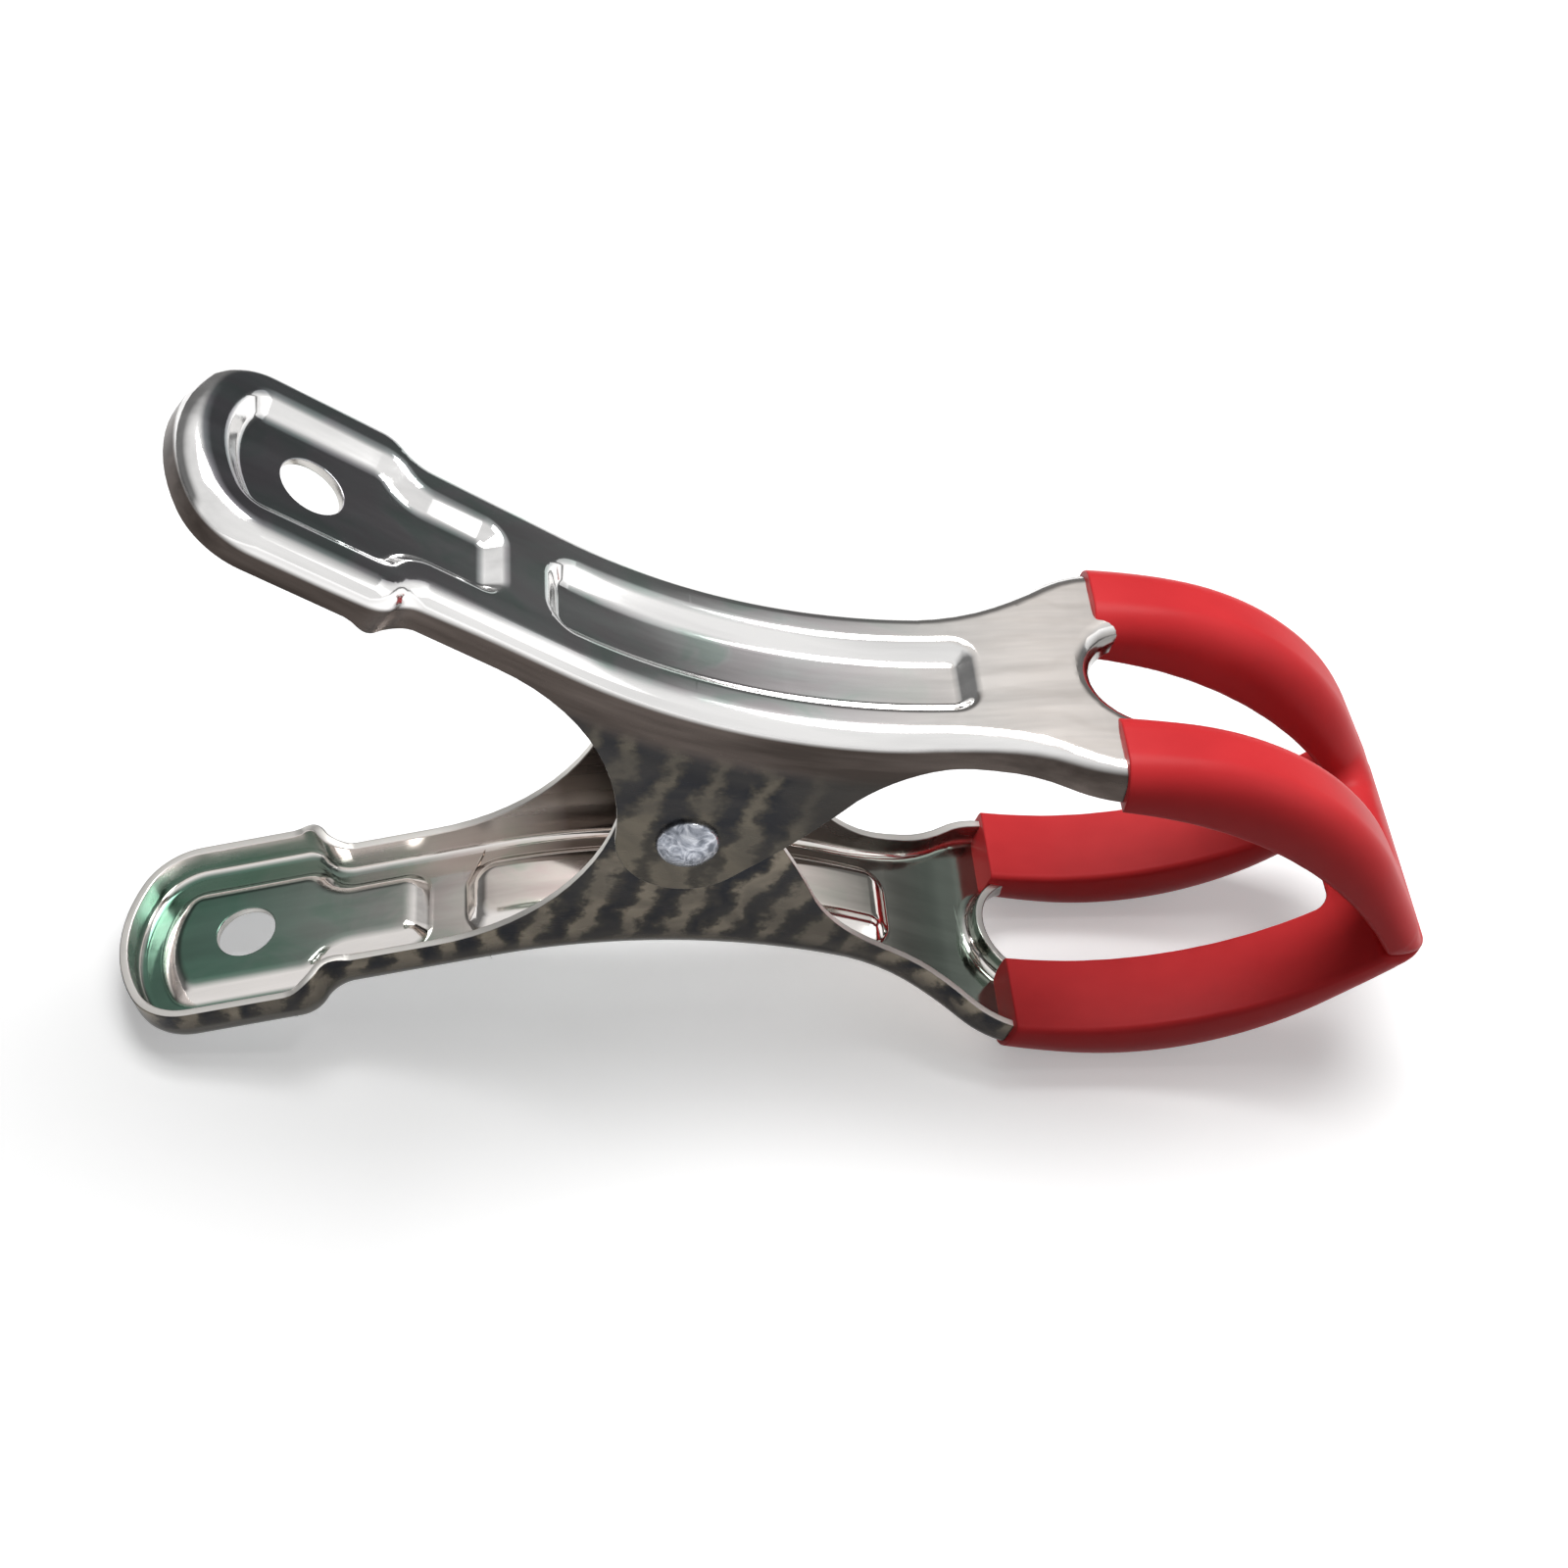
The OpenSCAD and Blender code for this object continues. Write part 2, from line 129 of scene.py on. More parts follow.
# %% [markdown]
# ## The bend of the back
# Seen from the side, an arm's back is a chain of straight lines and arcs: the
# straight handle, a long hollow bend over the waist, a gentle double curve up
# to the belly of the jaw, and the round belly down to the straight nose.
#
# So each arm is modelled flat, as the blank would lie on a bench, and is rolled
# along this chain at the end. A point of the flat blank is (s, w, h): distance
# along the back from the handle's end, across it, and above its face.

# %% Roll a flat blank along the back
def rad(degrees):
    return math.radians(degrees)


def unit(angle):
    return Vector((math.cos(rad(angle)), math.sin(rad(angle))))


def normal(angle):
    """The outward side of a line that runs at this angle."""
    return Vector((-math.sin(rad(angle)), math.cos(rad(angle))))


RISE_TURN = 2 * math.degrees(math.atan((BELLY_H - WAIST_H) / (BELLY_X - WAIST_X)))
RISE_R = (BELLY_X - WAIST_X) / (2 * math.sin(rad(RISE_TURN)))
BACK_BEND = Vector((WAIST_X - BACK_R * math.sin(rad(HANDLE_TILT)),
                    WAIST_H + BACK_R * (1 - math.cos(rad(HANDLE_TILT)))))
NOSE_H = BELLY_H - BELLY_R * (1 - math.cos(rad(NOSE_ANGLE)))
STEEL_BITE_H = JAW_GAP / 2 + COAT
NOSE_LEN = (NOSE_H - STEEL_BITE_H) / math.sin(rad(NOSE_ANGLE))
COAT_NOSE_H = NOSE_H + COAT * math.cos(rad(NOSE_ANGLE)) - JAW_GAP / 2
COAT_NOSE_LEN = COAT_NOSE_H / math.sin(rad(NOSE_ANGLE))

# Each leg of the back: radius (0 for a straight), and its turn or its length
BACK = [(0, HANDLE_LEN), (BACK_R, HANDLE_TILT), (RISE_R, RISE_TURN),
        (RISE_R, -RISE_TURN), (BELLY_R, -NOSE_ANGLE), (0, NOSE_LEN)]


def leg_length(leg):
    radius, amount = leg
    return abs(rad(amount)) * radius if radius else amount


def along(start, angle, leg, distance):
    """The point and heading this far into a leg that starts here."""
    radius, amount = leg
    if not radius:
        return start + distance * unit(angle), angle
    side = math.copysign(1, amount)
    turned = angle + side * math.degrees(distance / radius)
    return start + side * radius * (normal(angle) - normal(turned)), turned


def back_at(s):
    """The point of the back and its heading at distance s from the handle's end."""
    point = BACK_BEND - HANDLE_LEN * unit(-HANDLE_TILT)
    angle = -HANDLE_TILT
    for leg in BACK[:-1]:
        if s <= leg_length(leg):
            return along(point, angle, leg, s)
        point, angle = along(point, angle, leg, leg_length(leg))
        s -= leg_length(leg)
    return along(point, angle, BACK[-1], s)


def rolled(s, h):
    """Where a point of the flat blank lies in side view: (x, z)."""
    point, angle = back_at(s)
    return point + h * normal(angle)


BACK_LEN = sum(leg_length(leg) for leg in BACK)
BELLY_S = sum(leg_length(leg) for leg in BACK[:4])


def last_short(is_short, low=0.0, high=BACK_LEN):
    """The last distance that is still short, by halving the stretch that holds it."""
    for _ in range(40):
        middle = (low + high) / 2
        if is_short(middle):
            low = middle
        else:
            high = middle
    return low


def unrolled(x, z, low=0.0, high=BACK_LEN):
    """The (s, h) of a point in side view."""
    target = Vector((x, z))

    def is_short(s):
        point, angle = back_at(s)
        return (target - point).dot(unit(angle)) > 0

    s = last_short(is_short, low, high)
    point, angle = back_at(s)
    return s, (target - point).dot(normal(angle))


def s_over(x):
    """Distance along the back at which its face lies over x."""
    return last_short(lambda s: back_at(s)[0].x < x)


print(f"back is {BACK_LEN:.1f} mm long, belly at {BELLY_S:.1f} mm")

# %% [markdown]
# ## From the clamp's frame to the ground
# The finished clamp lies on its lower arm, so everything is tilted a little and
# lifted. The frame knows the rivet's place and the closing plane's normal, so
# neither is worked out again here.

# %% Lay a mesh down
PIVOT = Vector(frame["joints"][0]["pos_m"])
BITE = next(m for m in frame["record"]["mounts"] if m["name"] == "jaw_bite")
LAY = math.atan2(BITE["axis"][0], BITE["axis"][2])
TO_GROUND = Matrix.Translation(PIVOT) @ Matrix.Rotation(LAY, 4, "Y") @ Matrix.Scale(MM, 4)


def on_ground(x, y, z):
    return TO_GROUND @ Vector((x, y, z))

# %% [markdown]
# ## Drawing an outline
# An outline is drawn like a pen stroke: a straight step pushes the last point
# on, and a curved step spins it round a centre. Both are mesh operators, so the
# stroke is real geometry from the start.

# %% Pen strokes
ARC_STEP = 5.0  # degrees in each straight facet of a curve


def stroke(bm, start, heading, legs):
    """Draws the legs from start at this heading, and returns the points in order."""
    point = bm.verts.new((start[0], start[1], 0))
    points = [point]
    for size, turn in legs:
        if not turn:
            new = bmesh.ops.extrude_vert_indiv(bm, verts=[point])["verts"]
            way = unit(heading)
            bmesh.ops.translate(bm, verts=new, vec=(size * way.x, size * way.y, 0))
            points += new
        else:
            side = math.copysign(1, turn)
            centre = Vector(point.co) + side * size * normal(heading).to_3d()
            steps = max(2, math.ceil(abs(turn) / ARC_STEP))
            before = len(bm.verts)
            bmesh.ops.spin(bm, geom=[point], cent=centre, axis=(0, 0, 1),
                           angle=rad(turn), steps=steps, use_merge=False, use_duplicate=False)
            bm.verts.ensure_lookup_table()
            points += bm.verts[before:]
            heading += turn
        point = points[-1]
    return points


def sway(length, shift, share=0.5):
    """Two arcs that move a line sideways; the first takes its share of the way."""
    turn = 2 * math.degrees(math.atan(shift / length))
    both = length / math.sin(rad(abs(turn)))
    return [(share * both, turn), ((1 - share) * both, -turn)]

# %% [markdown]
# ## The arm's free edge
# The edge of the turned-down sheet runs at an even depth along the handle, dips
# round the rivet as an ear, climbs again, and follows the jaw to its tip. On a
# real arm it is one smooth trimmed line.
#
# It is drawn once in side view with the pen. Unrolled onto the blank, it is a
# plain depth for every distance along the back.

# %% Draw the free edge in side view
HANDLE_OUT = normal(-HANDLE_TILT)
RISE_CENTRE = Vector((WAIST_X, WAIST_H + RISE_R))
EAR_OUT, EAR_UP = unit(EAR_ANGLE - 90), unit(EAR_ANGLE)

# The fillet behind the ear touches the handle's edge and the ear
off = BACK_BEND.dot(HANDLE_OUT) - FLANGE - EAR_BACK_R
span = math.sqrt((EAR_BACK_R + EAR_R) ** 2 - off ** 2)
BACK_FILLET = off * HANDLE_OUT - span * unit(-HANDLE_TILT)
EAR_START = BACK_FILLET + EAR_BACK_R * HANDLE_OUT
ear_meet = math.degrees(math.atan2(-BACK_FILLET.y, -BACK_FILLET.x)) - 90

# The fillet before the ear touches its straight front and the first rise
base = (EAR_R + EAR_FRONT_R) * EAR_OUT - RISE_CENTRE
half = base.dot(EAR_UP)
rest = base.dot(base) - (RISE_R + FORK_FLANGE + EAR_FRONT_R) ** 2
EAR_FRONT_LEN = -half - math.sqrt(half ** 2 - rest)
front = RISE_CENTRE - (EAR_R + EAR_FRONT_R) * EAR_OUT - EAR_FRONT_LEN * EAR_UP
FRONT_HEADING = math.degrees(math.atan2(front.y, front.x)) - 90

# The bite is one arc from under the plastic's edge to the tip's flat
COAT_HEADING = math.degrees(math.asin((BELLY_X - COAT_X) / RISE_R))
coat_point = Vector((COAT_X, BELLY_H - RISE_R * (1 - math.cos(rad(COAT_HEADING)))))
BITE_BACK = coat_point - FORK_FLANGE * normal(COAT_HEADING)
STEEL_TIP = back_at(BACK_LEN)[0]
BITE_FRONT = Vector((STEEL_TIP.x - BITE_LEN, STEEL_BITE_H))
chord = BITE_FRONT - BITE_BACK
drop = math.sqrt(BITE_R ** 2 - (chord.length / 2) ** 2)
BITE_CENTRE = (BITE_FRONT + BITE_BACK) / 2 - drop * Vector((-chord.y, chord.x)).normalized()

free_edge = bmesh.new()
ear_points = stroke(free_edge, EAR_START, -HANDLE_TILT, [
    (EAR_BACK_R, ear_meet + HANDLE_TILT),
    (EAR_R, EAR_ANGLE - ear_meet),
    (EAR_FRONT_LEN, 0),
    (EAR_FRONT_R, FRONT_HEADING - EAR_ANGLE),
    (RISE_R + FORK_FLANGE, RISE_TURN - FRONT_HEADING),
    (RISE_R - FORK_FLANGE, COAT_HEADING - RISE_TURN)])
bite_way = BITE_BACK - BITE_CENTRE
bite_heading = math.degrees(math.atan2(bite_way.y, bite_way.x)) - 90
front_way = BITE_FRONT - BITE_CENTRE
bite_turn = math.degrees(math.atan2(front_way.y, front_way.x)) - 90 - bite_heading
bite_points = stroke(free_edge, BITE_BACK, bite_heading, [(BITE_R, bite_turn)])
EDGE = [unrolled(p.co.x, p.co.y) for p in ear_points + bite_points] + [(BACK_LEN, 0.0)]
free_edge.free()
print(f"ear starts at s = {EDGE[0][0]:.1f}, lowest {min(h for s, h in EDGE):.1f} mm")


def edge_depth(s):
    """Depth of the free edge below the back at distance s."""
    if s <= EDGE[0][0]:
        reach = abs(s - PADDLE_LEN - NECK_LEN / 2) / NECK_DIP_REACH
        return FLANGE + NECK_DIP * max(0, 1 - reach ** 2) ** 2
    for (s0, h0), (s1, h1) in zip(EDGE, EDGE[1:]):
        if s <= s1:
            return -(h0 + (h1 - h0) * (s - s0) / max(s1 - s0, 1e-6))
    return 0.0

# %% [markdown]
# ## The flat blank of an arm
# One half of the arm's face is drawn as a single outline that also runs round
# the slot and both panels, so that the holes need no cutting afterwards. The
# panels are faces of their own, ready to be inset and sunk.
#
# A face with a hole in it isn't possible in a mesh. Here every hole touches the
# middle line, so the half face simply steps round each of them.

# %% Outlines of the blank
PANEL_RIM = 6.1        # plain rim beside the handle's panel
STEM_HW = 4.9          # handle panel's narrow stem
STEM_GAP = 10.1        # from that stem to the end of the straight handle
WAIST_PANEL_HW = 4.9
WAIST_PANEL_BACK, WAIST_PANEL_FRONT = 21.3, 31.0   # its reach from the rivet
PANEL_FRONT_R, PANEL_BACK_R = 2.0, 3.0             # corners of the panels
WALL = 2.4             # breadth of the sloping wall round a panel
STEEL_END = BACK_LEN - 0.5         # inside the plastic's tip

END_R = (PADDLE_HW - CORNER_R * (1 - math.sin(rad(END_BOW)))) / math.sin(rad(END_BOW))
END_DEPTH = END_R * (1 - math.cos(rad(END_BOW))) + CORNER_R * math.cos(rad(END_BOW))


def edge_legs(hw):
    """The arm's outer edge, from the handle's end round to the tip's middle."""
    s_flare, s_fork = s_over(FLARE_X), s_over(FLARE_X + FLARE_LEN)
    return ([(END_R, -END_BOW), (CORNER_R, END_BOW - 90), (PADDLE_LEN - END_DEPTH, 0)]
            + sway(NECK_LEN, hw - PADDLE_HW, 0.55)
            + [(s_flare - PADDLE_LEN - NECK_LEN, 0)]
            + sway(s_fork - s_flare, FORK_HW - hw, FLARE_SHARE)
            + [(STEEL_END - TIP_R - s_fork, 0), (TIP_R, -90), (FORK_HW - TIP_R, 0)])


def slot_legs(front):
    """The slot's edge, from the middle of its front end round to its root."""
    return [(SLOT_HW - SLOT_CORNER_R, 0), (SLOT_CORNER_R, 90),
            (front - SLOT_CORNER_R - s_over(SLOT_X) - SLOT_HW, 0), (SLOT_HW, 90)]


def handle_panel_legs(grow):
    """The handle panel's edge, grown outwards, from its rear middle to its front."""
    rim = PANEL_RIM - grow
    corner = PANEL_FRONT_R + grow
    stem = HANDLE_LEN - STEM_GAP + grow - PADDLE_LEN - NECK_LEN - corner
    return ([(END_R - rim, -END_BOW), (CORNER_R - rim, END_BOW - 90),
             (PADDLE_LEN - END_DEPTH, 0)]
            + sway(NECK_LEN, STEM_HW + grow - (PADDLE_HW - rim))
            + [(stem, 0), (corner, -90), (STEM_HW + grow - corner, 0)])


def waist_panel_legs(grow):
    """The waist panel's edge, grown outwards, from its rear middle to its front."""
    back_r, front_r = PANEL_BACK_R + grow, PANEL_FRONT_R + grow
    length = s_over(WAIST_PANEL_FRONT) - s_over(-WAIST_PANEL_BACK) + 2 * grow
    return [(WAIST_PANEL_HW + grow - back_r, 0), (back_r, -90),
            (length - back_r - front_r, 0), (front_r, -90),
            (WAIST_PANEL_HW + grow - front_r, 0)]

# %% Draw the half blank
def half_blank(hw):
    """The flat half face of an arm: its rim face, both panel faces and its edges."""
    bm = bmesh.new()
    grow = WALL / 2
    outside = stroke(bm, (0, 0), 90, edge_legs(hw))
    slot = stroke(bm, (BACK_LEN - BAR_LEN, 0), 90, slot_legs(BACK_LEN - BAR_LEN))
    waist = stroke(bm, (s_over(-WAIST_PANEL_BACK) - grow, 0), 90, waist_panel_legs(grow))
    handle = stroke(bm, (PANEL_RIM - grow, 0), 90, handle_panel_legs(grow))
    hole = stroke(bm, (HOLE_IN - HOLE_R, 0), 90, [(HOLE_R, -180)])
    rim = bm.faces.new(outside + slot + waist[::-1] + handle[::-1])
    waist_floor = bm.faces.new(waist)
    handle_floor = bm.faces.new(handle + hole[::-1])
    bmesh.ops.recalc_face_normals(bm, faces=bm.faces[:])
    if rim.normal.z < 0:
        bmesh.ops.reverse_faces(bm, faces=bm.faces[:])
    return bm, outside, slot, waist_floor, handle_floor

# %% [markdown]
# ## Pressing the blank
# A press sinks the panels, turns the edges down and rounds every bend in one
# stroke. Here inset and a small drop make the panels, an extrusion of the outer
# edge makes the flange, and bevels give each bend the radius of the tool.
#
# The mesh is then cut across every couple of millimetres, because a face can
# only bend where it has an edge, and each cut's lowest point moves to the free
# edge's depth. Solidify gives the sheet its thickness last, so that both sides
# stay parallel round every bend.

# %% Press a half blank
PANEL_BEND_R = 0.75                # bends above and below a panel's wall
NECK_STEP, BEND_STEP = 1.1, 2.0    # distance between cuts
SNAP = 0.04                        # a cut this near a point runs through it
NEAREST_CUT = 0.05


def edges_along(points):
    """The edges that join each point of a chain to the next."""
    pairs = zip(points, points[1:])
    return [e for a, b in pairs for e in a.link_edges if e.other_vert(a) == b]


def bevel(bm, edges, size, segments):
    bmesh.ops.bevel(bm, geom=edges, offset=size, offset_type="OFFSET", segments=segments,
                    affect="EDGES", profile=0.5, material=-1, clamp_overlap=False)


def turn_down(bm, edges, depth):
    """Extrudes edges straight down, and returns them as the bend's edges."""
    made = bmesh.ops.extrude_edge_only(bm, edges=edges)["geom"]
    low = [v for v in made if isinstance(v, bmesh.types.BMVert)]
    bmesh.ops.translate(bm, vec=(0, 0, -depth), verts=low)
    return edges


def cut_across(bm, places):
    for s in places:
        bmesh.ops.bisect_plane(bm, geom=bm.verts[:] + bm.edges[:] + bm.faces[:], dist=SNAP,
                               plane_co=(s, 0, 0), plane_no=(1, 0, 0))


def cut_places(start, end):
    """Even cuts along the bent part, and one at each point of the free edge."""
    even = [start + BEND_STEP * k for k in range(int((end - start) / BEND_STEP) + 1)]
    edge = [s for s, h in EDGE if s < end]
    crowded = 0.4 * BEND_STEP
    kept = []
    for s in sorted(even + edge):
        if s in edge or not any(abs(s - other) < crowded for other in edge + kept):
            if not kept or s - kept[-1] > NEAREST_CUT:
                kept.append(s)
    return kept


def away_from(point, line):
    """Distance in plan from a point to the nearest part of a line of points."""
    plan = point.xy.to_3d()
    nearest = []
    for a, b in zip(line, line[1:]):
        foot, share = intersect_point_line(plan, a, b)
        foot = a.lerp(b, min(max(share, 0), 1))
        nearest.append((foot - plan).length)
    return min(nearest)


def turn_to_depth(bm, outline, slot_line, bend_r):
    """Trims the edge and the lip to their depths, and keeps how far down each point lies."""
    zone = bm.verts.layers.float_vector.new("zone")
    for v in bm.verts:
        depth = edge_depth(v.co.x)
        if v.co.z > -TINY:
            continue
        if away_from(v.co, outline) < bend_r:
            if depth < FLANGE:
                v.co.z *= depth / FLANGE
            elif v.co.z < -FLANGE + TINY:
                v.co.z = -depth
            v[zone] = (-v.co.z, 0, 0)
        elif away_from(v.co, slot_line) < LIP_R:
            v.co.z *= min(1, depth / LIP)
            v[zone] = (0, -v.co.z, 0)


def pressed_half(kind):
    bend_r = BEND_R[kind]
    bm, outside, slot, waist_floor, handle_floor = half_blank(WAIST_HW[kind])
    outer_edges, slot_edges = edges_along(outside), edges_along(slot)
    outline, slot_line = [[v.co.copy() for v in chain] for chain in (outside, slot)]
    shoulders = []
    for floor in (waist_floor, handle_floor):
        shoulders += [e for e in floor.edges if not e.is_boundary]
        bmesh.ops.inset_region(bm, faces=[floor], thickness=WALL, use_boundary=False,
                               use_even_offset=True)
        bmesh.ops.translate(bm, vec=(0, 0, -SINK), verts=floor.verts[:])
        shoulders += [e for e in floor.edges if not e.is_boundary]
    bends = turn_down(bm, outer_edges, FLANGE)
    lips = turn_down(bm, slot_edges, LIP)
    bevel(bm, bends, bend_r, segments=6)
    bevel(bm, lips, LIP_R, segments=7)
    bevel(bm, shoulders, PANEL_BEND_R, segments=3)
    cut_across(bm, [PADDLE_LEN - NECK_STEP + NECK_STEP * k for k in range(9)])
    cut_across(bm, cut_places(min(HANDLE_LEN, EDGE[0][0]), STEEL_END))
    turn_to_depth(bm, outline, slot_line, bend_r)
    return bm

# %% [markdown]
# ## From half blank to finished arm
# What is left is the order of a few steps: move the cut edge to its depth,
# mirror the half, thicken the sheet inwards, take the sharpness off the cut rim,
# and only then roll the blank along the back.
#
# Each point's place on the blank is kept as an attribute, so that the finish can
# later follow the metal round its bends.

# %% Finish and roll an arm
MERGE = 0.03                       # points nearer than this become one
RANKS = 1e5                        # more steps of TINY than a mesh is wide
SHEET_RIM_R, PAD_RIM_R = 0.18, 0.25    # rounding of square edges
SQUARE_TURN = 60                   # edges that turn more than this are rounded
SHARP_TURN = 50                    # and more than this stay sharp in the shading


def in_order(bm):
    """Sorts a mesh by place, so that every run merges the same points."""
    def rank(co):
        x, y, z = (round(c / TINY) for c in co)
        return (x * RANKS + y) * RANKS + z

    bm.verts.sort(key=lambda v: rank(v.co))
    bm.edges.sort(key=lambda e: rank((e.verts[0].co + e.verts[1].co) / 2))
    bm.faces.sort(key=lambda f: rank(f.calc_center_median()))


def both_halves(bm):
    """Mirrors the half across the middle line and joins it there."""
    in_order(bm)
    bmesh.ops.mirror(bm, geom=bm.verts[:] + bm.edges[:] + bm.faces[:],
                     axis="Y", merge_dist=TINY)
    bmesh.ops.remove_doubles(bm, verts=bm.verts[:], dist=MERGE)
    bmesh.ops.dissolve_degenerate(bm, edges=bm.edges[:], dist=MERGE)
    bmesh.ops.recalc_face_normals(bm, faces=bm.faces[:])
    if max(bm.faces, key=lambda f: abs(f.normal.z) * f.calc_area()).normal.z < 0:
        bmesh.ops.reverse_faces(bm, faces=bm.faces[:])


def thicken(bm):
    """Gives the sheet its thickness inwards, and marks the inner side in the zone."""
    outer = {v.co.copy().freeze() for v in bm.verts}
    bmesh.ops.solidify(bm, geom=bm.faces[:], thickness=SHEET)
    zone = bm.verts.layers.float_vector["zone"]
    for v in bm.verts:
        if v.co.copy().freeze() not in outer:
            v[zone] = (v[zone].x, v[zone].y, 1)


def round_rim(bm, size):
    """Takes the sharpness off every square edge."""
    square = [e for e in bm.edges if e.is_manifold and e.calc_face_angle() > rad(SQUARE_TURN)]
    bevel(bm, square, size, segments=2)


def roll_up(bm, lower):
    """Keeps each point's place on the blank, then rolls the blank along the back."""
    flat = bm.verts.layers.float_vector.new("flat")
    for v in bm.verts:
        s, w, h = v.co
        v[flat] = v.co * MM
        x, z = rolled(s, h)
        v.co = on_ground(x, w, -z if lower else z)
    if lower:
        bmesh.ops.reverse_faces(bm, faces=bm.faces[:])


def as_piece(bm, name):
    """Makes an object of a mesh, smooth everywhere but along its sharp edges."""
    for face in bm.faces:
        face.smooth = True
    for edge in bm.edges:
        edge.smooth = not edge.is_manifold or edge.calc_face_angle() < rad(SHARP_TURN)
    mesh = bpy.data.meshes.new(name)
    bm.to_mesh(mesh)
    bm.free()
    piece = bpy.data.objects.new(name, mesh)
    bpy.context.scene.collection.objects.link(piece)
    weigh = piece.modifiers.new("even_shading", "WEIGHTED_NORMAL")
    weigh.keep_sharp = True
    print(f"{name}: {len(mesh.vertices)} points, {len(mesh.polygons)} faces")
    return piece


def make_arm(name, body, node, kind, lower):
    bm = pressed_half(kind)
    both_halves(bm)
    thicken(bm)
    round_rim(bm, SHEET_RIM_R)
    roll_up(bm, lower)
    arm = as_piece(bm, name)
    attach(arm, body)
    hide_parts(node)
    return arm


upper_arm = make_arm("upper_arm_pressing", "upper_arm", "outer_arm", "outer", False)
lower_arm = make_arm("lower_arm_pressing", "lower_arm", "inner_arm", "inner", True)

# %% [markdown]
# ## The dipped jaws
# Each jaw was dipped in liquid plastic, which fills the shallow channel behind
# the sheet and draws every edge round. It is a solid U-shaped pad, thick along
# the prongs and thin at the tip, cut straight where the dip ended.
#
# It starts as a flat U one coating thickness above the sheet. Wide bevels on top
# give the soft shoulders, small ones below the tighter inner edges. The pad is
# then squeezed to the bite's curve and rolled like the arm.

# %% Draw the bite under the plastic
PAD_START = s_over(COAT_X)
PAD_END = BACK_LEN - NOSE_LEN + COAT_NOSE_LEN - 0.15   # the tip is a little blunt
PAD_DEPTH = 5.2        # where nothing squeezes it
PAD_HW = FORK_HW + COAT - 0.005    # a hair inside the solid
PAD_SLOT_HW = SLOT_HW - COAT
PAD_TIP_R, PAD_SLOT_R = 4.5, 2.0   # corners in plan
SHOULDER_R, UNDER_R = 4.3, 0.8     # edges above and below
PAD_STEP = 1.5                     # distance between cuts
LEAD = 2                           # degrees of the bite drawn behind the plastic
SPARE = 9                          # length searched beyond each end

pad_r = BITE_R - COAT
rise = math.degrees(math.asin((JAW_GAP / 2 - BITE_CENTRE.y) / pad_r))
bite_line = bmesh.new()
pad_back = BITE_CENTRE + pad_r * unit(bite_heading + (90 + LEAD))
line = [p.co.xy for p in stroke(bite_line, pad_back, bite_heading + LEAD,
                                [(pad_r, rise - bite_heading - (90 + LEAD))])]
line.append(line[-1] + Vector((14, 0)))    # the flat bite, drawn past the tip
PAD_EDGE = [unrolled(x, z, PAD_START - SPARE, PAD_END + SPARE) for x, z in line]
bite_line.free()


def pad_depth(s):
    """Depth of the plastic below the sheet's face at distance s."""
    for (s0, h0), (s1, h1) in zip(PAD_EDGE, PAD_EDGE[1:]):
        if s0 <= s <= s1:
            return -(h0 + (h1 - h0) * (s - s0) / (s1 - s0))
    return PAD_DEPTH

# %% Make the two pads
def make_pad(name, body, node, lower):
    bm = bmesh.new()
    front = BACK_LEN - BAR_LEN - COAT
    outside = stroke(bm, (PAD_START, PAD_HW), 0, [
        (PAD_END - PAD_START - PAD_TIP_R, 0), (PAD_TIP_R, -90), (PAD_HW - PAD_TIP_R, 0)])
    inside = stroke(bm, (front, 0), 90, [
        (PAD_SLOT_HW - PAD_SLOT_R, 0), (PAD_SLOT_R, 90), (front - PAD_SLOT_R - PAD_START, 0)])
    face = bm.faces.new(outside + inside)
    bmesh.ops.translate(bm, verts=bm.verts[:], vec=(0, 0, COAT))
    outer_edges, slot_edges = edges_along(outside), edges_along(inside)
    made = bmesh.ops.extrude_face_region(bm, geom=[face], use_keep_orig=True)["geom"]
    low_verts = [v for v in made if isinstance(v, bmesh.types.BMVert)]
    bmesh.ops.translate(bm, verts=low_verts, vec=(0, 0, -COAT - PAD_DEPTH))
    middle = [f for f in bm.faces if all(abs(v.co.y) < TINY for v in f.verts)]
    bmesh.ops.delete(bm, geom=middle, context="FACES_ONLY")
    low_edges = [e for e in bm.edges
                 if all(v in low_verts for v in e.verts)
                 and not all(abs(v.co.x - PAD_START) < TINY for v in e.verts)
                 and not e.is_boundary]
    bevel(bm, outer_edges, SHOULDER_R, segments=7)
    bevel(bm, slot_edges, SHOULDER_R, segments=8)
    bevel(bm, [e for e in low_edges if e.is_valid], UNDER_R, segments=3)
    cuts = int((PAD_END - PAD_START) / PAD_STEP)
    cut_across(bm, [PAD_START + PAD_STEP * k for k in range(1, cuts + 1)])
    both_halves(bm)
    for v in bm.verts:
        v.co.z = COAT - (COAT - v.co.z) * (COAT + pad_depth(v.co.x)) / (COAT + PAD_DEPTH)
    round_rim(bm, PAD_RIM_R)
    roll_up(bm, lower)
    pad = as_piece(bm, name)
    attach(pad, body)
    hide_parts(node)
    return pad


upper_pad = make_pad("upper_jaw_dip", "upper_arm", "outer_jaw_coating", False)
lower_pad = make_pad("lower_jaw_dip", "lower_arm", "inner_jaw_coating", True)

# %% [markdown]
# ## The rivet
# One steel rivet holds all four ears. Its near end is a low dome, and its far
# end was peened over by hammer, so it is flatter and a little smaller.
#
# A rivet is a turned shape, so the outline of each end is drawn with the pen and
# spun once round the axis. The shank joins both ends in the same spin.

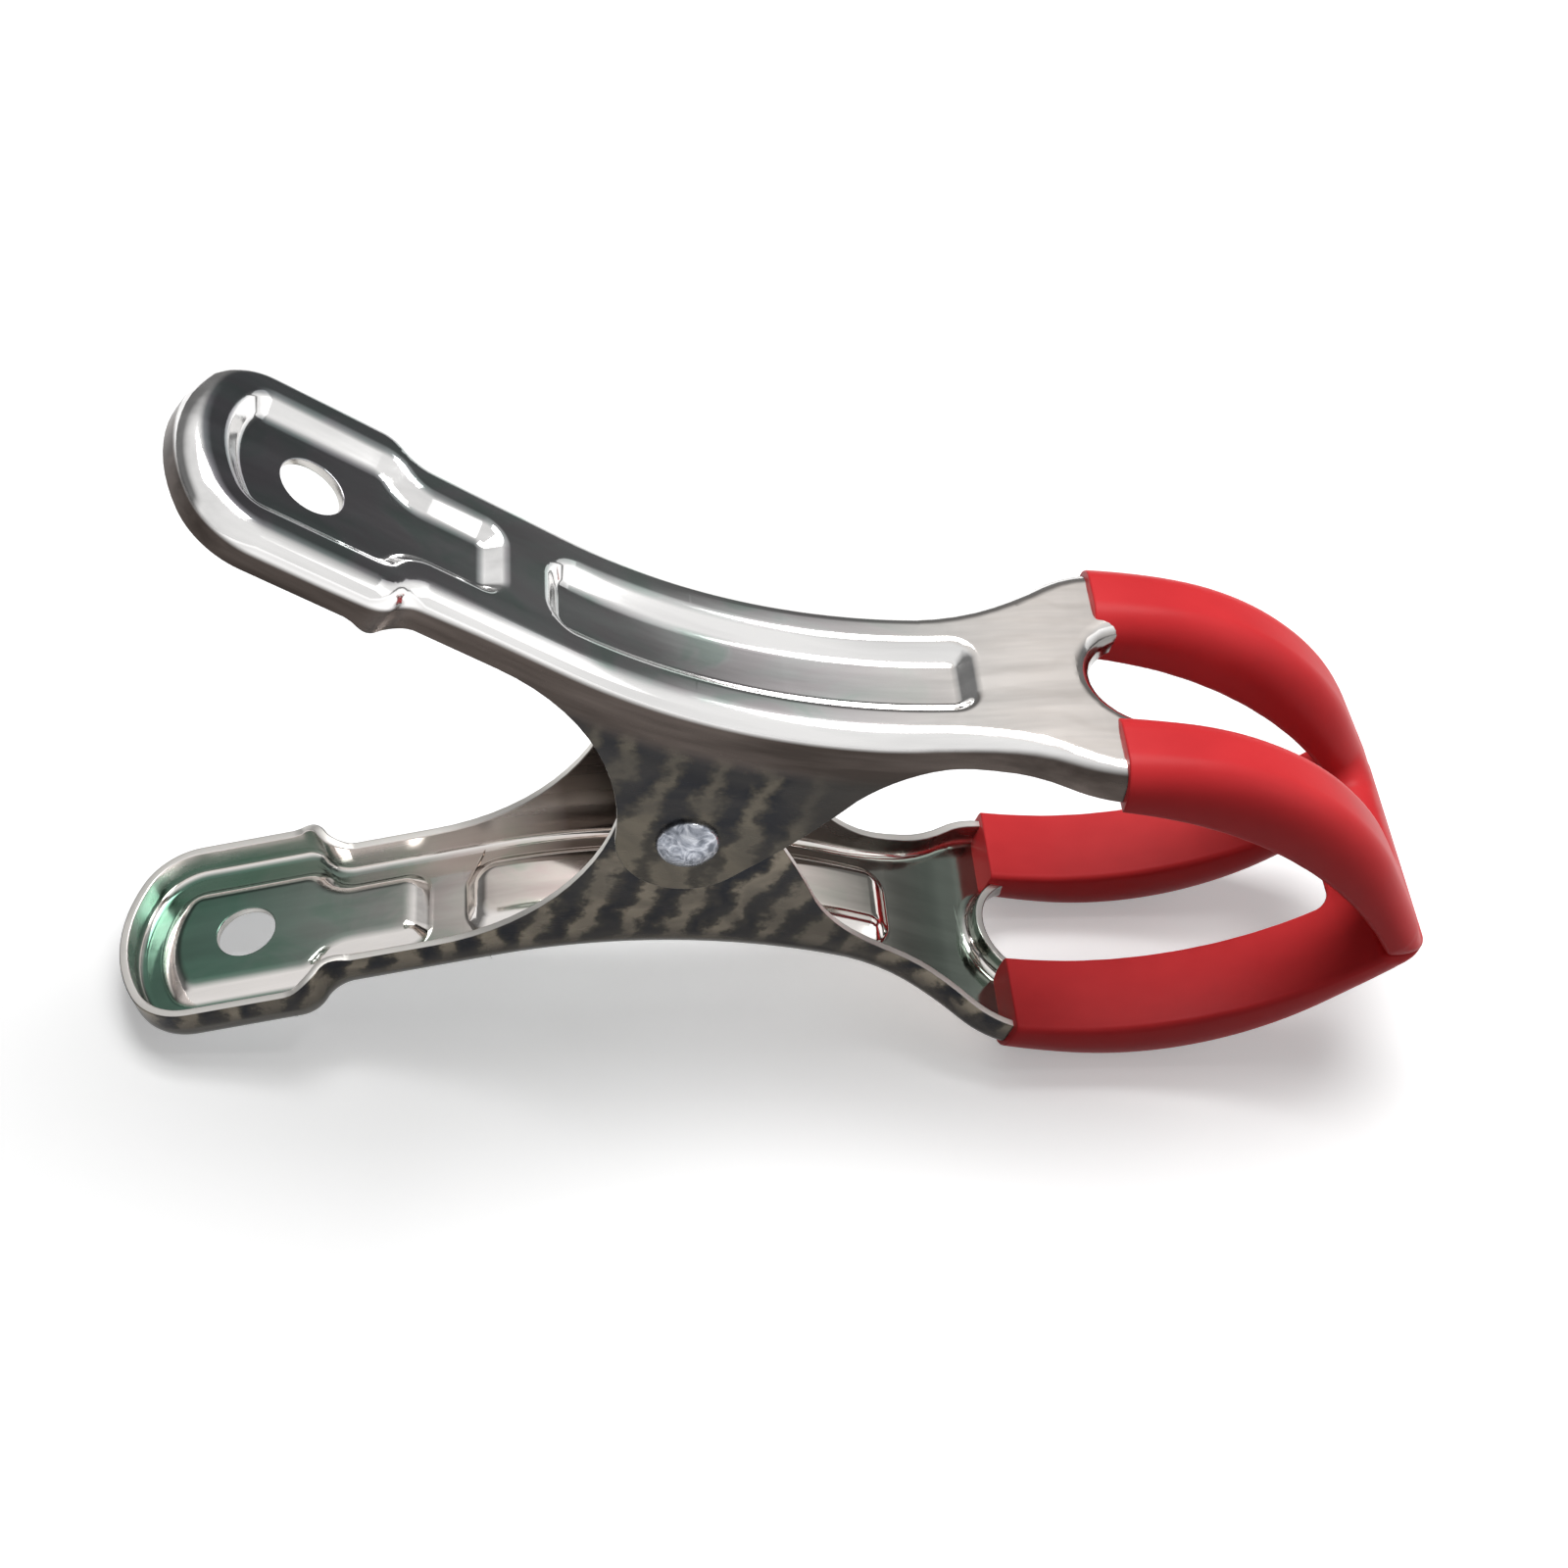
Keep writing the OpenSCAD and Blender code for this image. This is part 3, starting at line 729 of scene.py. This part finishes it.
# %% Spin the rivet
def dome_points(bm, radius, height, side):
    """Half the outline of a rounded end with a soft rim, from its middle outwards.

    The pen draws it a little too large, and the points are then fitted.
    """
    rim = 0.35 * height
    crown_r = (radius ** 2 + (height - rim) ** 2) / (2 * (height - rim))
    turn = math.degrees(math.asin(radius / crown_r))
    points = stroke(bm, (0, 0), 0, [(crown_r, -turn), (rim * 1.2, turn - 90), (rim * 0.2, 0)])
    out, low = points[-1].co.x, points[-1].co.y
    for p in points:
        y = WAIST_HW["outer"] + height * (1 - p.co.y / low)
        p.co = (p.co.x * radius / out, side * y, 0)
    return points


def make_rivet(name, body, node):
    bm = bmesh.new()
    head = dome_points(bm, HEAD_R, HEAD_H, -1)
    tail = dome_points(bm, TAIL_R, TAIL_H, 1)
    seat = WAIST_HW["outer"] - 0.01    # a hair inside the ear's face
    shank = [bm.verts.new((RIVET_R, side * seat, 0)) for side in (-1, 1)]
    for a, b in ((head[-1], shank[0]), (shank[0], shank[1]), (shank[1], tail[-1])):
        bm.edges.new((a, b))
    bmesh.ops.spin(bm, geom=bm.edges[:], cent=(0, 0, 0), axis=(0, 1, 0), angle=rad(360),
                   steps=64, use_merge=True, use_duplicate=False)
    bmesh.ops.remove_doubles(bm, verts=bm.verts[:], dist=TINY)
    bmesh.ops.recalc_face_normals(bm, faces=bm.faces[:])
    bmesh.ops.transform(bm, matrix=TO_GROUND, verts=bm.verts[:])
    rivet = as_piece(bm, name)
    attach(rivet, body)
    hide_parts(node)
    return rivet


rivet = make_rivet("rivet_with_domed_head", "upper_arm", "rivet")

# %% [markdown]
# ## The torsion spring
# Hard-drawn wire is wound four times round the rivet between the ears, and each
# end runs out straight against the inside of one handle.
#
# A round section is spun with a little advance in each turn, which is just how
# wire is wound on a mandrel, and both ends are then pushed out along the legs.

# %% Wind the spring
WIRE_SIDES, TURN_STEPS = 14, 30
LEG_PARTS = (0.9, 0.09, 0.01)      # shorter to the end, so that its flat face shades flat


def make_spring(name, node):
    depth = SINK + SHEET + WIRE_R + LEG_GAP
    bear = math.asin((WAIST_X + LEG_REACH) / BACK_R)
    leg_end = Vector((WAIST_X - (BACK_R + depth) * math.sin(bear),
                      WAIST_H + BACK_R - (BACK_R + depth) * math.cos(bear)))
    leave = math.atan2(leg_end.y, leg_end.x) - math.acos(COIL_R / leg_end.length)
    sweep = 2 * math.pi * COIL_TURNS + 2 * leave
    length = COIL_PITCH * sweep / (2 * math.pi)
    steps = TURN_STEPS * COIL_TURNS

    bm = bmesh.new()
    ring = bmesh.ops.create_circle(bm, segments=WIRE_SIDES, radius=WIRE_R)["verts"]
    place = Matrix.Rotation(leave, 4, "Y") @ Matrix.Translation((COIL_R, -length / 2, 0))
    bmesh.ops.transform(bm, matrix=place, verts=ring)
    first = bm.edges[:]
    made = bmesh.ops.spin(bm, geom=first, cent=(0, 0, 0), axis=(0, -1, 0), angle=sweep,
                          dvec=(0, length / steps, 0), steps=steps, use_duplicate=False)
    last = [e for e in made["geom_last"] if isinstance(e, bmesh.types.BMEdge)]
    for edges, side in ((first, -1), (last, 1)):
        start = COIL_R * Vector((math.cos(leave), math.sin(leave)))
        way = leg_end - start
        for part in LEG_PARTS:
            geom = bmesh.ops.extrude_edge_only(bm, edges=edges)["geom"]
            verts = [v for v in geom if isinstance(v, bmesh.types.BMVert)]
            edges = [e for e in geom if isinstance(e, bmesh.types.BMEdge)]
            bmesh.ops.translate(bm, verts=verts, vec=(part * way.x, 0, part * side * way.y))
            edges = [e for e in edges if e.is_boundary]
        bmesh.ops.holes_fill(bm, edges=edges, sides=0)
    bmesh.ops.recalc_face_normals(bm, faces=bm.faces[:])
    bmesh.ops.transform(bm, matrix=TO_GROUND, verts=bm.verts[:])
    spring = as_piece(bm, name)
    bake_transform(spring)
    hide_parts(node)
    return spring


spring = make_spring("wound_torsion_spring", "torsion_spring")

# %% [markdown]
# ## Finishes
# A finish here is a small chain of nodes: noise gives the unevenness, a ramp
# turns it into colours, and mixes lay one zone of the piece over the next.
#
# Every pattern reads what was kept on the blank, so it follows the metal round
# its bends: "flat" is the place on the blank in metres, and "zone" holds the
# depth down the turned edge, the depth down the slot's lip, and the inner side.

# %% Finish helpers
def grey(light):
    return (light, light, light)


class Nodes:
    """A node tree, and short ways to add to it."""

    def __init__(self, tree):
        self.tree = tree

    def put(self, value, socket):
        """Links another node's output to a socket, or sets a plain value."""
        if isinstance(value, bpy.types.NodeSocket):
            self.tree.links.new(value, socket)
        else:
            socket.default_value = value

    def node(self, kind, **settings):
        made = self.tree.nodes.new("ShaderNode" + kind)
        for name, value in settings.items():
            setattr(made, name, value)
        return made

    def fill(self, made, **values):
        """Fills a node's inputs by name; _ stands for a space."""
        for name, value in values.items():
            self.put(value, made.inputs[name.replace("_", " ")])
        return made

    def axes(self, vector):
        return self.fill(self.node("SeparateXYZ"), Vector=vector).outputs[:3]

    def spread(self, vector, scale, turn=0.0):
        """The vector turned about Y and stretched by a scale on each axis."""
        made = self.node("Mapping")
        return self.fill(made, Vector=vector, Scale=scale, Rotation=(0, rad(turn), 0)).outputs[0]

    def noise(self, vector, detail, scale=1.0, distortion=0.0):
        made = self.fill(self.node("TexNoise"), Vector=vector, Scale=scale,
                         Detail=detail, Distortion=distortion)
        return made.outputs["Fac"]

    def step(self, value, low, high, to=(0.0, 1.0), kind="SMOOTHSTEP"):
        """A change that runs from low to high."""
        made = self.node("MapRange", interpolation_type=kind)
        return self.fill(made, Value=value, From_Min=low, From_Max=high,
                         To_Min=to[0], To_Max=to[1]).outputs[0]

    def maths(self, operation, a, b):
        made = self.node("Math", operation=operation)
        self.put(a, made.inputs[0])
        self.put(b, made.inputs[1])
        return made.outputs[0]

    def ramp(self, value, stops):
        """A colour for each value; the stops are (place, colour) and run upwards."""
        made = self.fill(self.node("ValToRGB"), Fac=value)
        elements = made.color_ramp.elements
        elements[0].position, elements[1].position = stops[0][0], stops[-1][0]
        for place, colour in stops[1:-1]:
            elements.new(place)
        for element, (place, colour) in zip(elements, stops):
            element.color = (*colour, 1)
        return made.outputs["Color"]

    def mix(self, share, a, b, blend="MIX"):
        """Colour b over colour a by its share."""
        made = self.node("Mix", data_type="RGBA", blend_type=blend)
        for value, place in ((share, 0), (a, 6), (b, 7)):
            self.put((*value, 1) if isinstance(value, tuple) else value, made.inputs[place])
        return made.outputs[2]


class Finish(Nodes):
    """A material, whose nodes end in its shader."""

    def __init__(self, name):
        self.material = bpy.data.materials.new(name)
        self.material.use_nodes = True
        super().__init__(self.material.node_tree)
        self.shader = self.tree.nodes["Principled BSDF"]

    def attribute(self, name):
        return self.node("Attribute", attribute_name=name).outputs["Vector"]

    def bump(self, height, distance, strength):
        bumps = self.fill(self.node("Bump"), Height=height, Distance=distance, Strength=strength)
        self.fill(self.shader, Normal=bumps.outputs[0])

    def put_on(self, *pieces):
        for piece in pieces:
            piece.data.materials.append(self.material)

# %% [markdown]
# ## Bright plated sheet
# The arms are rolled sheet, polished and plated. Rolling leaves faint streaks
# along the sheet. Over that lie painted reflections: clear and warm at the fork,
# greyer along the handles, and dark and cloudy on the turned edges and the ears.
#
# On the ears the painted reflection forms wavy bars, made here by a wave texture
# that noise distorts. The bends and the panel walls are painted bright, as
# highlights.

# %% Bright plated sheet
# Colour of the painted highlights on the panel walls, and on the upper arm's bends
PAINTED_HIGHLIGHT = (0.94, 0.93, 0.92)


def bright_sheet(name, painted_edge_dark, painted_edge_light, painted_bend_tone, painted_bars_light, painted_bars_from, painted_bars_lift,
                 painted_bars_turn, painted_bars_end):
    finish = Finish(name)
    flat, zone = finish.attribute("flat"), finish.attribute("zone")
    along_s, _, height = finish.axes(flat)
    turned, lip, inner = finish.axes(zone)
    streaks = finish.noise(finish.spread(flat, (30, 260, 260)), detail=4)
    clouds = finish.noise(finish.spread(flat, (70, 90, 90)), detail=3, distortion=1.5)
    share = finish.maths("MULTIPLY", along_s, 1 / (BACK_LEN * MM))
    depth = finish.maths("MULTIPLY", height, -1 / MM)

    # The outer face: a painted reflection, slate at the handle's end and warm at the fork, with a
    # wavy grain at the fork and painted highlights on the walls round the panels
    outer_face = finish.ramp(share, [
        (0.0, (0.24, 0.24, 0.26)), (0.14, (0.36, 0.37, 0.38)), (0.35, (0.60, 0.62, 0.61)),
        (0.48, (0.70, 0.70, 0.69)), (0.62, (0.86, 0.80, 0.755)), (1.0, (0.85, 0.785, 0.745))])
    # Cloudy green and pink tints along the handles, a painted mottled reflection
    tint = finish.ramp(clouds, [(0.38, (0.84, 0.95, 0.90)), (0.5, grey(1)),
                                (0.62, (1.0, 0.94, 0.96))])
    tint = finish.mix(finish.step(share, 0.42, 0.6), tint, grey(1))
    outer_face = finish.mix(1.0, outer_face, tint, "MULTIPLY")
    grain = finish.fill(
        finish.node("TexWave", bands_direction="Y"), Vector=flat, Scale=75.0, Distortion=9.0,
        Detail=2.0, Detail_Scale=1.2)
    grain = finish.ramp(grain.outputs["Fac"], [(0.0, (0.96, 0.955, 0.95)), (0.5, grey(1))])
    outer_face = finish.mix(finish.step(share, 0.5, 0.65), outer_face,
                            finish.mix(1.0, outer_face, grain, "MULTIPLY"))
    # Painted highlight on the walls round the panels
    wall = finish.maths("MULTIPLY", finish.step(depth, 0.1, 0.5), finish.step(depth, 2.05, 1.7))
    outer_face = finish.mix(wall, outer_face, PAINTED_HIGHLIGHT)

    # The turned edge: painted dark reflection in brown streaks, then in wavy bars down the ears
    painted_brown = finish.ramp(streaks, [(0.35, painted_edge_dark), (0.62, painted_edge_light)])
    wave = finish.fill(
        finish.node("TexWave", bands_direction="X", wave_profile="SIN"),
        Vector=finish.spread(flat, (1, 1, 1), turn=painted_bars_turn), Scale=58.0, Distortion=4.5,
        Detail=4.0, Detail_Scale=3.5, Detail_Roughness=0.62)
    paler = finish.step(turned, 14.0, 26.0, to=painted_bars_lift)
    painted_bars = finish.ramp(finish.maths("ADD", wave.outputs["Fac"], paler), [
        (0.1, (0.021, 0.022, 0.026)), (0.5, (0.048, 0.044, 0.038)), (0.95, painted_bars_light)])
    painted_bars = finish.mix(finish.step(clouds, 0.35, 0.65, to=(0.0, 0.55)), painted_bars, (0.048, 0.045, 0.042))
    painted_bars = finish.mix(finish.step(share, painted_bars_end, painted_bars_end + 0.07), painted_bars, (0.040, 0.037, 0.034))
    side = finish.mix(finish.step(turned, painted_bars_from, painted_bars_from + 3), painted_brown, painted_bars)

    # The bend's painted highlight: broad at the paddle, narrow at the fork, then the painted dark
    # edge
    outer = finish.mix(finish.step(turned, 0.05, 0.5), outer_face, painted_bend_tone)
    drawn = finish.maths("ADD", turned, finish.step(share, 0.5, 0.68, to=(0.0, 1.5)))
    drawn = finish.maths("ADD", drawn, finish.step(share, 0.10, 0.24, to=(-0.8, 0.0)))
    flange_band = finish.step(drawn, 1.6, 2.4)
    outer = finish.mix(flange_band, outer, side)
    # The slot's lip is painted dark grey, a painted shade over its bend's reflection
    outer = finish.mix(finish.step(lip, 0.05, 1.2), outer, (0.24, 0.23, 0.22))

    # The inner side: green, beige and dark bands along it, pale panel walls, and flanges pale at
    # the handle and dark at the waist, all painted reflections and highlights
    inner_face = finish.ramp(share, [
        (0.0, (0.085, 0.17, 0.125)), (0.085, (0.11, 0.19, 0.15)), (0.2, (0.27, 0.28, 0.26)),
        (0.33, (0.86, 0.77, 0.71)), (0.5, (0.86, 0.78, 0.72)), (0.62, (0.26, 0.30, 0.26)),
        (0.75, (0.24, 0.27, 0.24))])
    inner_face = finish.mix(1.0, inner_face, tint, "MULTIPLY")
    wall = finish.maths("MULTIPLY", finish.step(depth, 1.3, 1.8), finish.step(depth, 3.3, 2.8))
    inner_face = finish.mix(wall, inner_face, (0.90, 0.86, 0.83))
    inner_side = finish.ramp(share, [
        (0.0, (0.85, 0.80, 0.78)), (0.24, (0.80, 0.74, 0.70)), (0.34, (0.10, 0.085, 0.075)),
        (0.58, (0.07, 0.06, 0.055)), (0.68, (0.5, 0.47, 0.45))])
    inside = finish.mix(finish.step(turned, 1.0, 2.4), inner_face, inner_side)

    # Both sides together, with faint streaks and a plain cut rim between them
    shade = finish.ramp(streaks, [(0.3, grey(0.86)), (0.6, grey(1.06))])
    colour = finish.mix(1.0, finish.mix(inner, outer, inside), shade, "MULTIPLY")
    rim = finish.step(finish.maths("PINGPONG", inner, 0.5), 0.02, 0.2)
    colour = finish.mix(rim, colour, (0.66, 0.64, 0.61))
    rough = finish.step(streaks, 0.3, 0.7, to=(0.08, 0.15))
    rough = finish.maths("ADD", rough, finish.maths("MULTIPLY", rim, 0.2))
    rough = finish.maths("ADD", rough, finish.maths("MULTIPLY", flange_band, 0.16))
    finish.fill(finish.shader, Base_Color=colour, Roughness=rough, Metallic=1.0)
    ripple = finish.noise(finish.spread(flat, (140, 420, 420)), detail=2)
    finish.bump(ripple, 0.00003, 0.5)
    return finish


# The upper arm's bends get the painted highlight, the lower arm's a painted dark tone
bright_sheet("bright_plated_sheet_upper", painted_edge_dark=(0.050, 0.040, 0.035),
             painted_edge_light=(0.105, 0.086, 0.077), painted_bend_tone=PAINTED_HIGHLIGHT,
             painted_bars_light=(0.118, 0.104, 0.082), painted_bars_from=6.0, painted_bars_lift=(-0.15, 0.5), painted_bars_turn=1,
             painted_bars_end=s_over(7) / BACK_LEN).put_on(upper_arm)
bright_sheet("bright_plated_sheet_lower", painted_edge_dark=(0.030, 0.030, 0.034),
             painted_edge_light=(0.10, 0.09, 0.075), painted_bend_tone=(0.12, 0.115, 0.105),
             painted_bars_light=(0.19, 0.165, 0.13), painted_bars_from=1.5, painted_bars_lift=(0.08, 0.0), painted_bars_turn=19,
             painted_bars_end=1.0).put_on(lower_arm)

# %% [markdown]
# ## Dipped plastic
# Soft vinyl comes out of the dip satin and even, with a faint unevenness where
# it ran and a very fine grain. Too much gloss would make it look wet.

# %% Dipped plastic
def dipped_plastic(name):
    finish = Finish(name)
    flat = finish.attribute("flat")
    runs = finish.noise(finish.spread(flat, (60, 90, 90)), detail=3)
    colour = finish.ramp(runs, [(0.3, (0.60, 0.028, 0.033)), (0.7, (0.70, 0.038, 0.043))])
    rough = finish.step(runs, 0.3, 0.7, to=(0.38, 0.46))
    finish.fill(finish.shader, Base_Color=colour, Roughness=rough, Specular_IOR_Level=0.14)
    grain = finish.noise(finish.spread(flat, (1500, 1500, 1500)), detail=2)
    finish.bump(grain, 0.00002, 0.5)
    return finish


dipped_plastic("dipped_red_plastic").put_on(upper_pad, lower_pad)

# %% [markdown]
# ## Rivet and spring
# Hammering the rivet leaves small flat marks that catch the light one by one, so
# its finish has cells of differing brightness. Spring wire is drawn through a
# die, which leaves fine lines along it and a dull grey skin.

# %% Rivet and spring
def peened_steel(name):
    finish = Finish(name)
    place = finish.node("TexCoord").outputs["Object"]
    marks = finish.fill(finish.node("TexVoronoi", feature="SMOOTH_F1"), Vector=place,
                        Scale=520.0, Smoothness=0.8)
    swirl = finish.noise(place, scale=420.0, detail=3, distortion=2.5)
    colour = finish.ramp(swirl, [(0.35, (0.16, 0.175, 0.205)), (0.5, (0.34, 0.36, 0.41)),
                                 (0.66, (0.60, 0.62, 0.67))])
    rough = finish.step(swirl, 0.3, 0.7, to=(0.32, 0.18))
    finish.fill(finish.shader, Base_Color=colour, Roughness=rough, Metallic=1.0)
    finish.bump(finish.maths("ADD", marks.outputs["Distance"], swirl), 0.0002, 0.45)
    return finish


def drawn_wire(name):
    finish = Finish(name)
    place = finish.node("TexCoord").outputs["Object"]
    lines = finish.noise(finish.spread(place, (500, 4000, 500)), detail=2)
    colour = finish.ramp(lines, [(0.35, (0.26, 0.26, 0.27)), (0.65, grey(0.46))])
    rough = finish.step(lines, 0.3, 0.7, to=(0.28, 0.42))
    finish.fill(finish.shader, Base_Color=colour, Roughness=rough, Metallic=1.0)
    finish.bump(lines, 0.00003, 0.4)
    return finish


peened_steel("peened_steel").put_on(rivet)
drawn_wire("drawn_spring_wire").put_on(spring)

# %% [markdown]
# ## Camera, floor and light
# The clamp lies on a plain pale table and is seen from above and a little from
# the left, with the camera tipped, so that the handles point up to the left.
#
# The floor is white to the camera and in reflections, and glows more with
# distance, so that it runs into the room without a line. To matt surfaces it is
# dark, which keeps the shadows and the plastic's sides deep.

# %% Camera
SENSOR_WIDTH = 36


def add_camera(azimuth, elevation, roll, eye, lens):
    """Looks from an eye in the clamp's frame; roll tips the camera about its view."""
    a, e = rad(azimuth), rad(elevation)
    back = Vector((math.sin(a) * math.cos(e), -math.cos(a) * math.cos(e), math.sin(e)))
    right = Vector((math.cos(a), math.sin(a), 0))
    turn = Matrix.Rotation(rad(roll), 3, back)
    x, y = turn @ right, turn @ back.cross(right)
    view = Matrix((x, y, back)).transposed().to_4x4()
    place = TO_GROUND @ Matrix.Translation(eye) @ view
    data = bpy.data.cameras.new("camera")
    data.lens, data.sensor_width = lens, SENSOR_WIDTH
    camera = bpy.data.objects.new("camera", data)
    camera.matrix_world = Matrix.LocRotScale(place.translation, place.to_quaternion(), None)
    bpy.context.scene.collection.objects.link(camera)
    bpy.context.scene.camera = camera
    return camera


camera = add_camera(azimuth=-18.28, elevation=44.8, roll=19.15,
                    eye=(-61.4, -225.9, 236.4), lens=60.075)
print("camera at", [round(c, 3) for c in camera.location])

# %% Floor
FLOOR_HALF = 3.0       # metres
FLOOR_DROP = 0.0002    # so that the clamp's lowest points stay clear of it


def add_floor():
    bm = bmesh.new()
    bmesh.ops.create_grid(bm, x_segments=1, y_segments=1, size=FLOOR_HALF)
    bmesh.ops.translate(bm, vec=(0, 0, -FLOOR_DROP), verts=bm.verts[:])
    mesh = bpy.data.meshes.new("floor")
    bm.to_mesh(mesh)
    bm.free()
    floor = bpy.data.objects.new("floor", mesh)
    bpy.context.scene.collection.objects.link(floor)
    finish = Finish("pale_floor")
    ray = finish.node("LightPath").outputs
    seen = finish.maths("MAXIMUM", ray["Is Glossy Ray"], ray["Is Transmission Ray"])
    seen = finish.maths("MAXIMUM", ray["Is Camera Ray"], seen)
    reach = finish.node("VectorMath", operation="LENGTH")
    finish.put(finish.node("TexCoord").outputs["Object"], reach.inputs[0])
    glow = finish.step(reach.outputs["Value"], 0.25, 1.1, to=(0.3, 1.0))
    finish.fill(finish.shader, Base_Color=finish.mix(seen, grey(0.08), grey(0.96)),
                Roughness=0.9, Specular_IOR_Level=0.0, Emission_Color=(1, 1, 1, 1),
                Emission_Strength=finish.maths("MULTIPLY", seen, glow))
    finish.put_on(floor)


add_floor()

# %% Lamps
def add_softbox(name, place, aim, size, power):
    data = bpy.data.lights.new(name, "AREA")
    data.shape, data.size, data.size_y, data.energy = "RECTANGLE", size[0], size[1], power
    lamp = bpy.data.objects.new(name, data)
    lamp.location = place
    lamp.rotation_euler = (Vector(aim) - Vector(place)).to_track_quat("-Z", "Y").to_euler()
    bpy.context.scene.collection.objects.link(lamp)


add_softbox("overhead_softbox", place=(0.08, 0.16, 0.62), aim=(0, 0, 0.03),
            size=(0.55, 0.30), power=3.9)
add_softbox("right_softbox", place=(0.72, -0.10, 0.34), aim=(-0.05, 0, 0.06),
            size=(0.90, 0.46), power=1.0)

# %% [markdown]
# Bright metal mirrors the whole room, so the room matters as much as the lamps.
# This one has a white ceiling and a white wall in front, which whiten the bends,
# and dark grey walls behind, which turn the steep handles slate. Matt surfaces
# get a share of the room's light and the rest from the lamps, which keeps the
# plastic's sides deep.

# %% Room
def add_room():
    world = bpy.data.worlds.new("soft_studio")
    bpy.context.scene.world = world
    world.use_nodes = True
    room = Nodes(world.node_tree)
    _, y, z = room.axes(room.node("TexCoord").outputs["Generated"])
    walls = room.ramp(z, [(0.0, grey(0.16)), (0.40, grey(0.17)), (0.63, grey(0.66)),
                          (0.75, grey(0.80)), (0.85, grey(0.80))])
    in_front = room.step(y, -0.05, -0.35, kind="LINEAR")
    light = room.mix(in_front, walls, grey(0.82))
    ray = room.node("LightPath").outputs
    light = room.mix(ray["Is Camera Ray"], light, grey(1))
    strength = room.step(ray["Is Diffuse Ray"], 0.0, 1.0, to=(1.0, 0.18), kind="LINEAR")
    room.fill(room.tree.nodes["Background"], Color=light, Strength=strength)


add_room()

bpy.context.scene.view_settings.view_transform = "Standard"
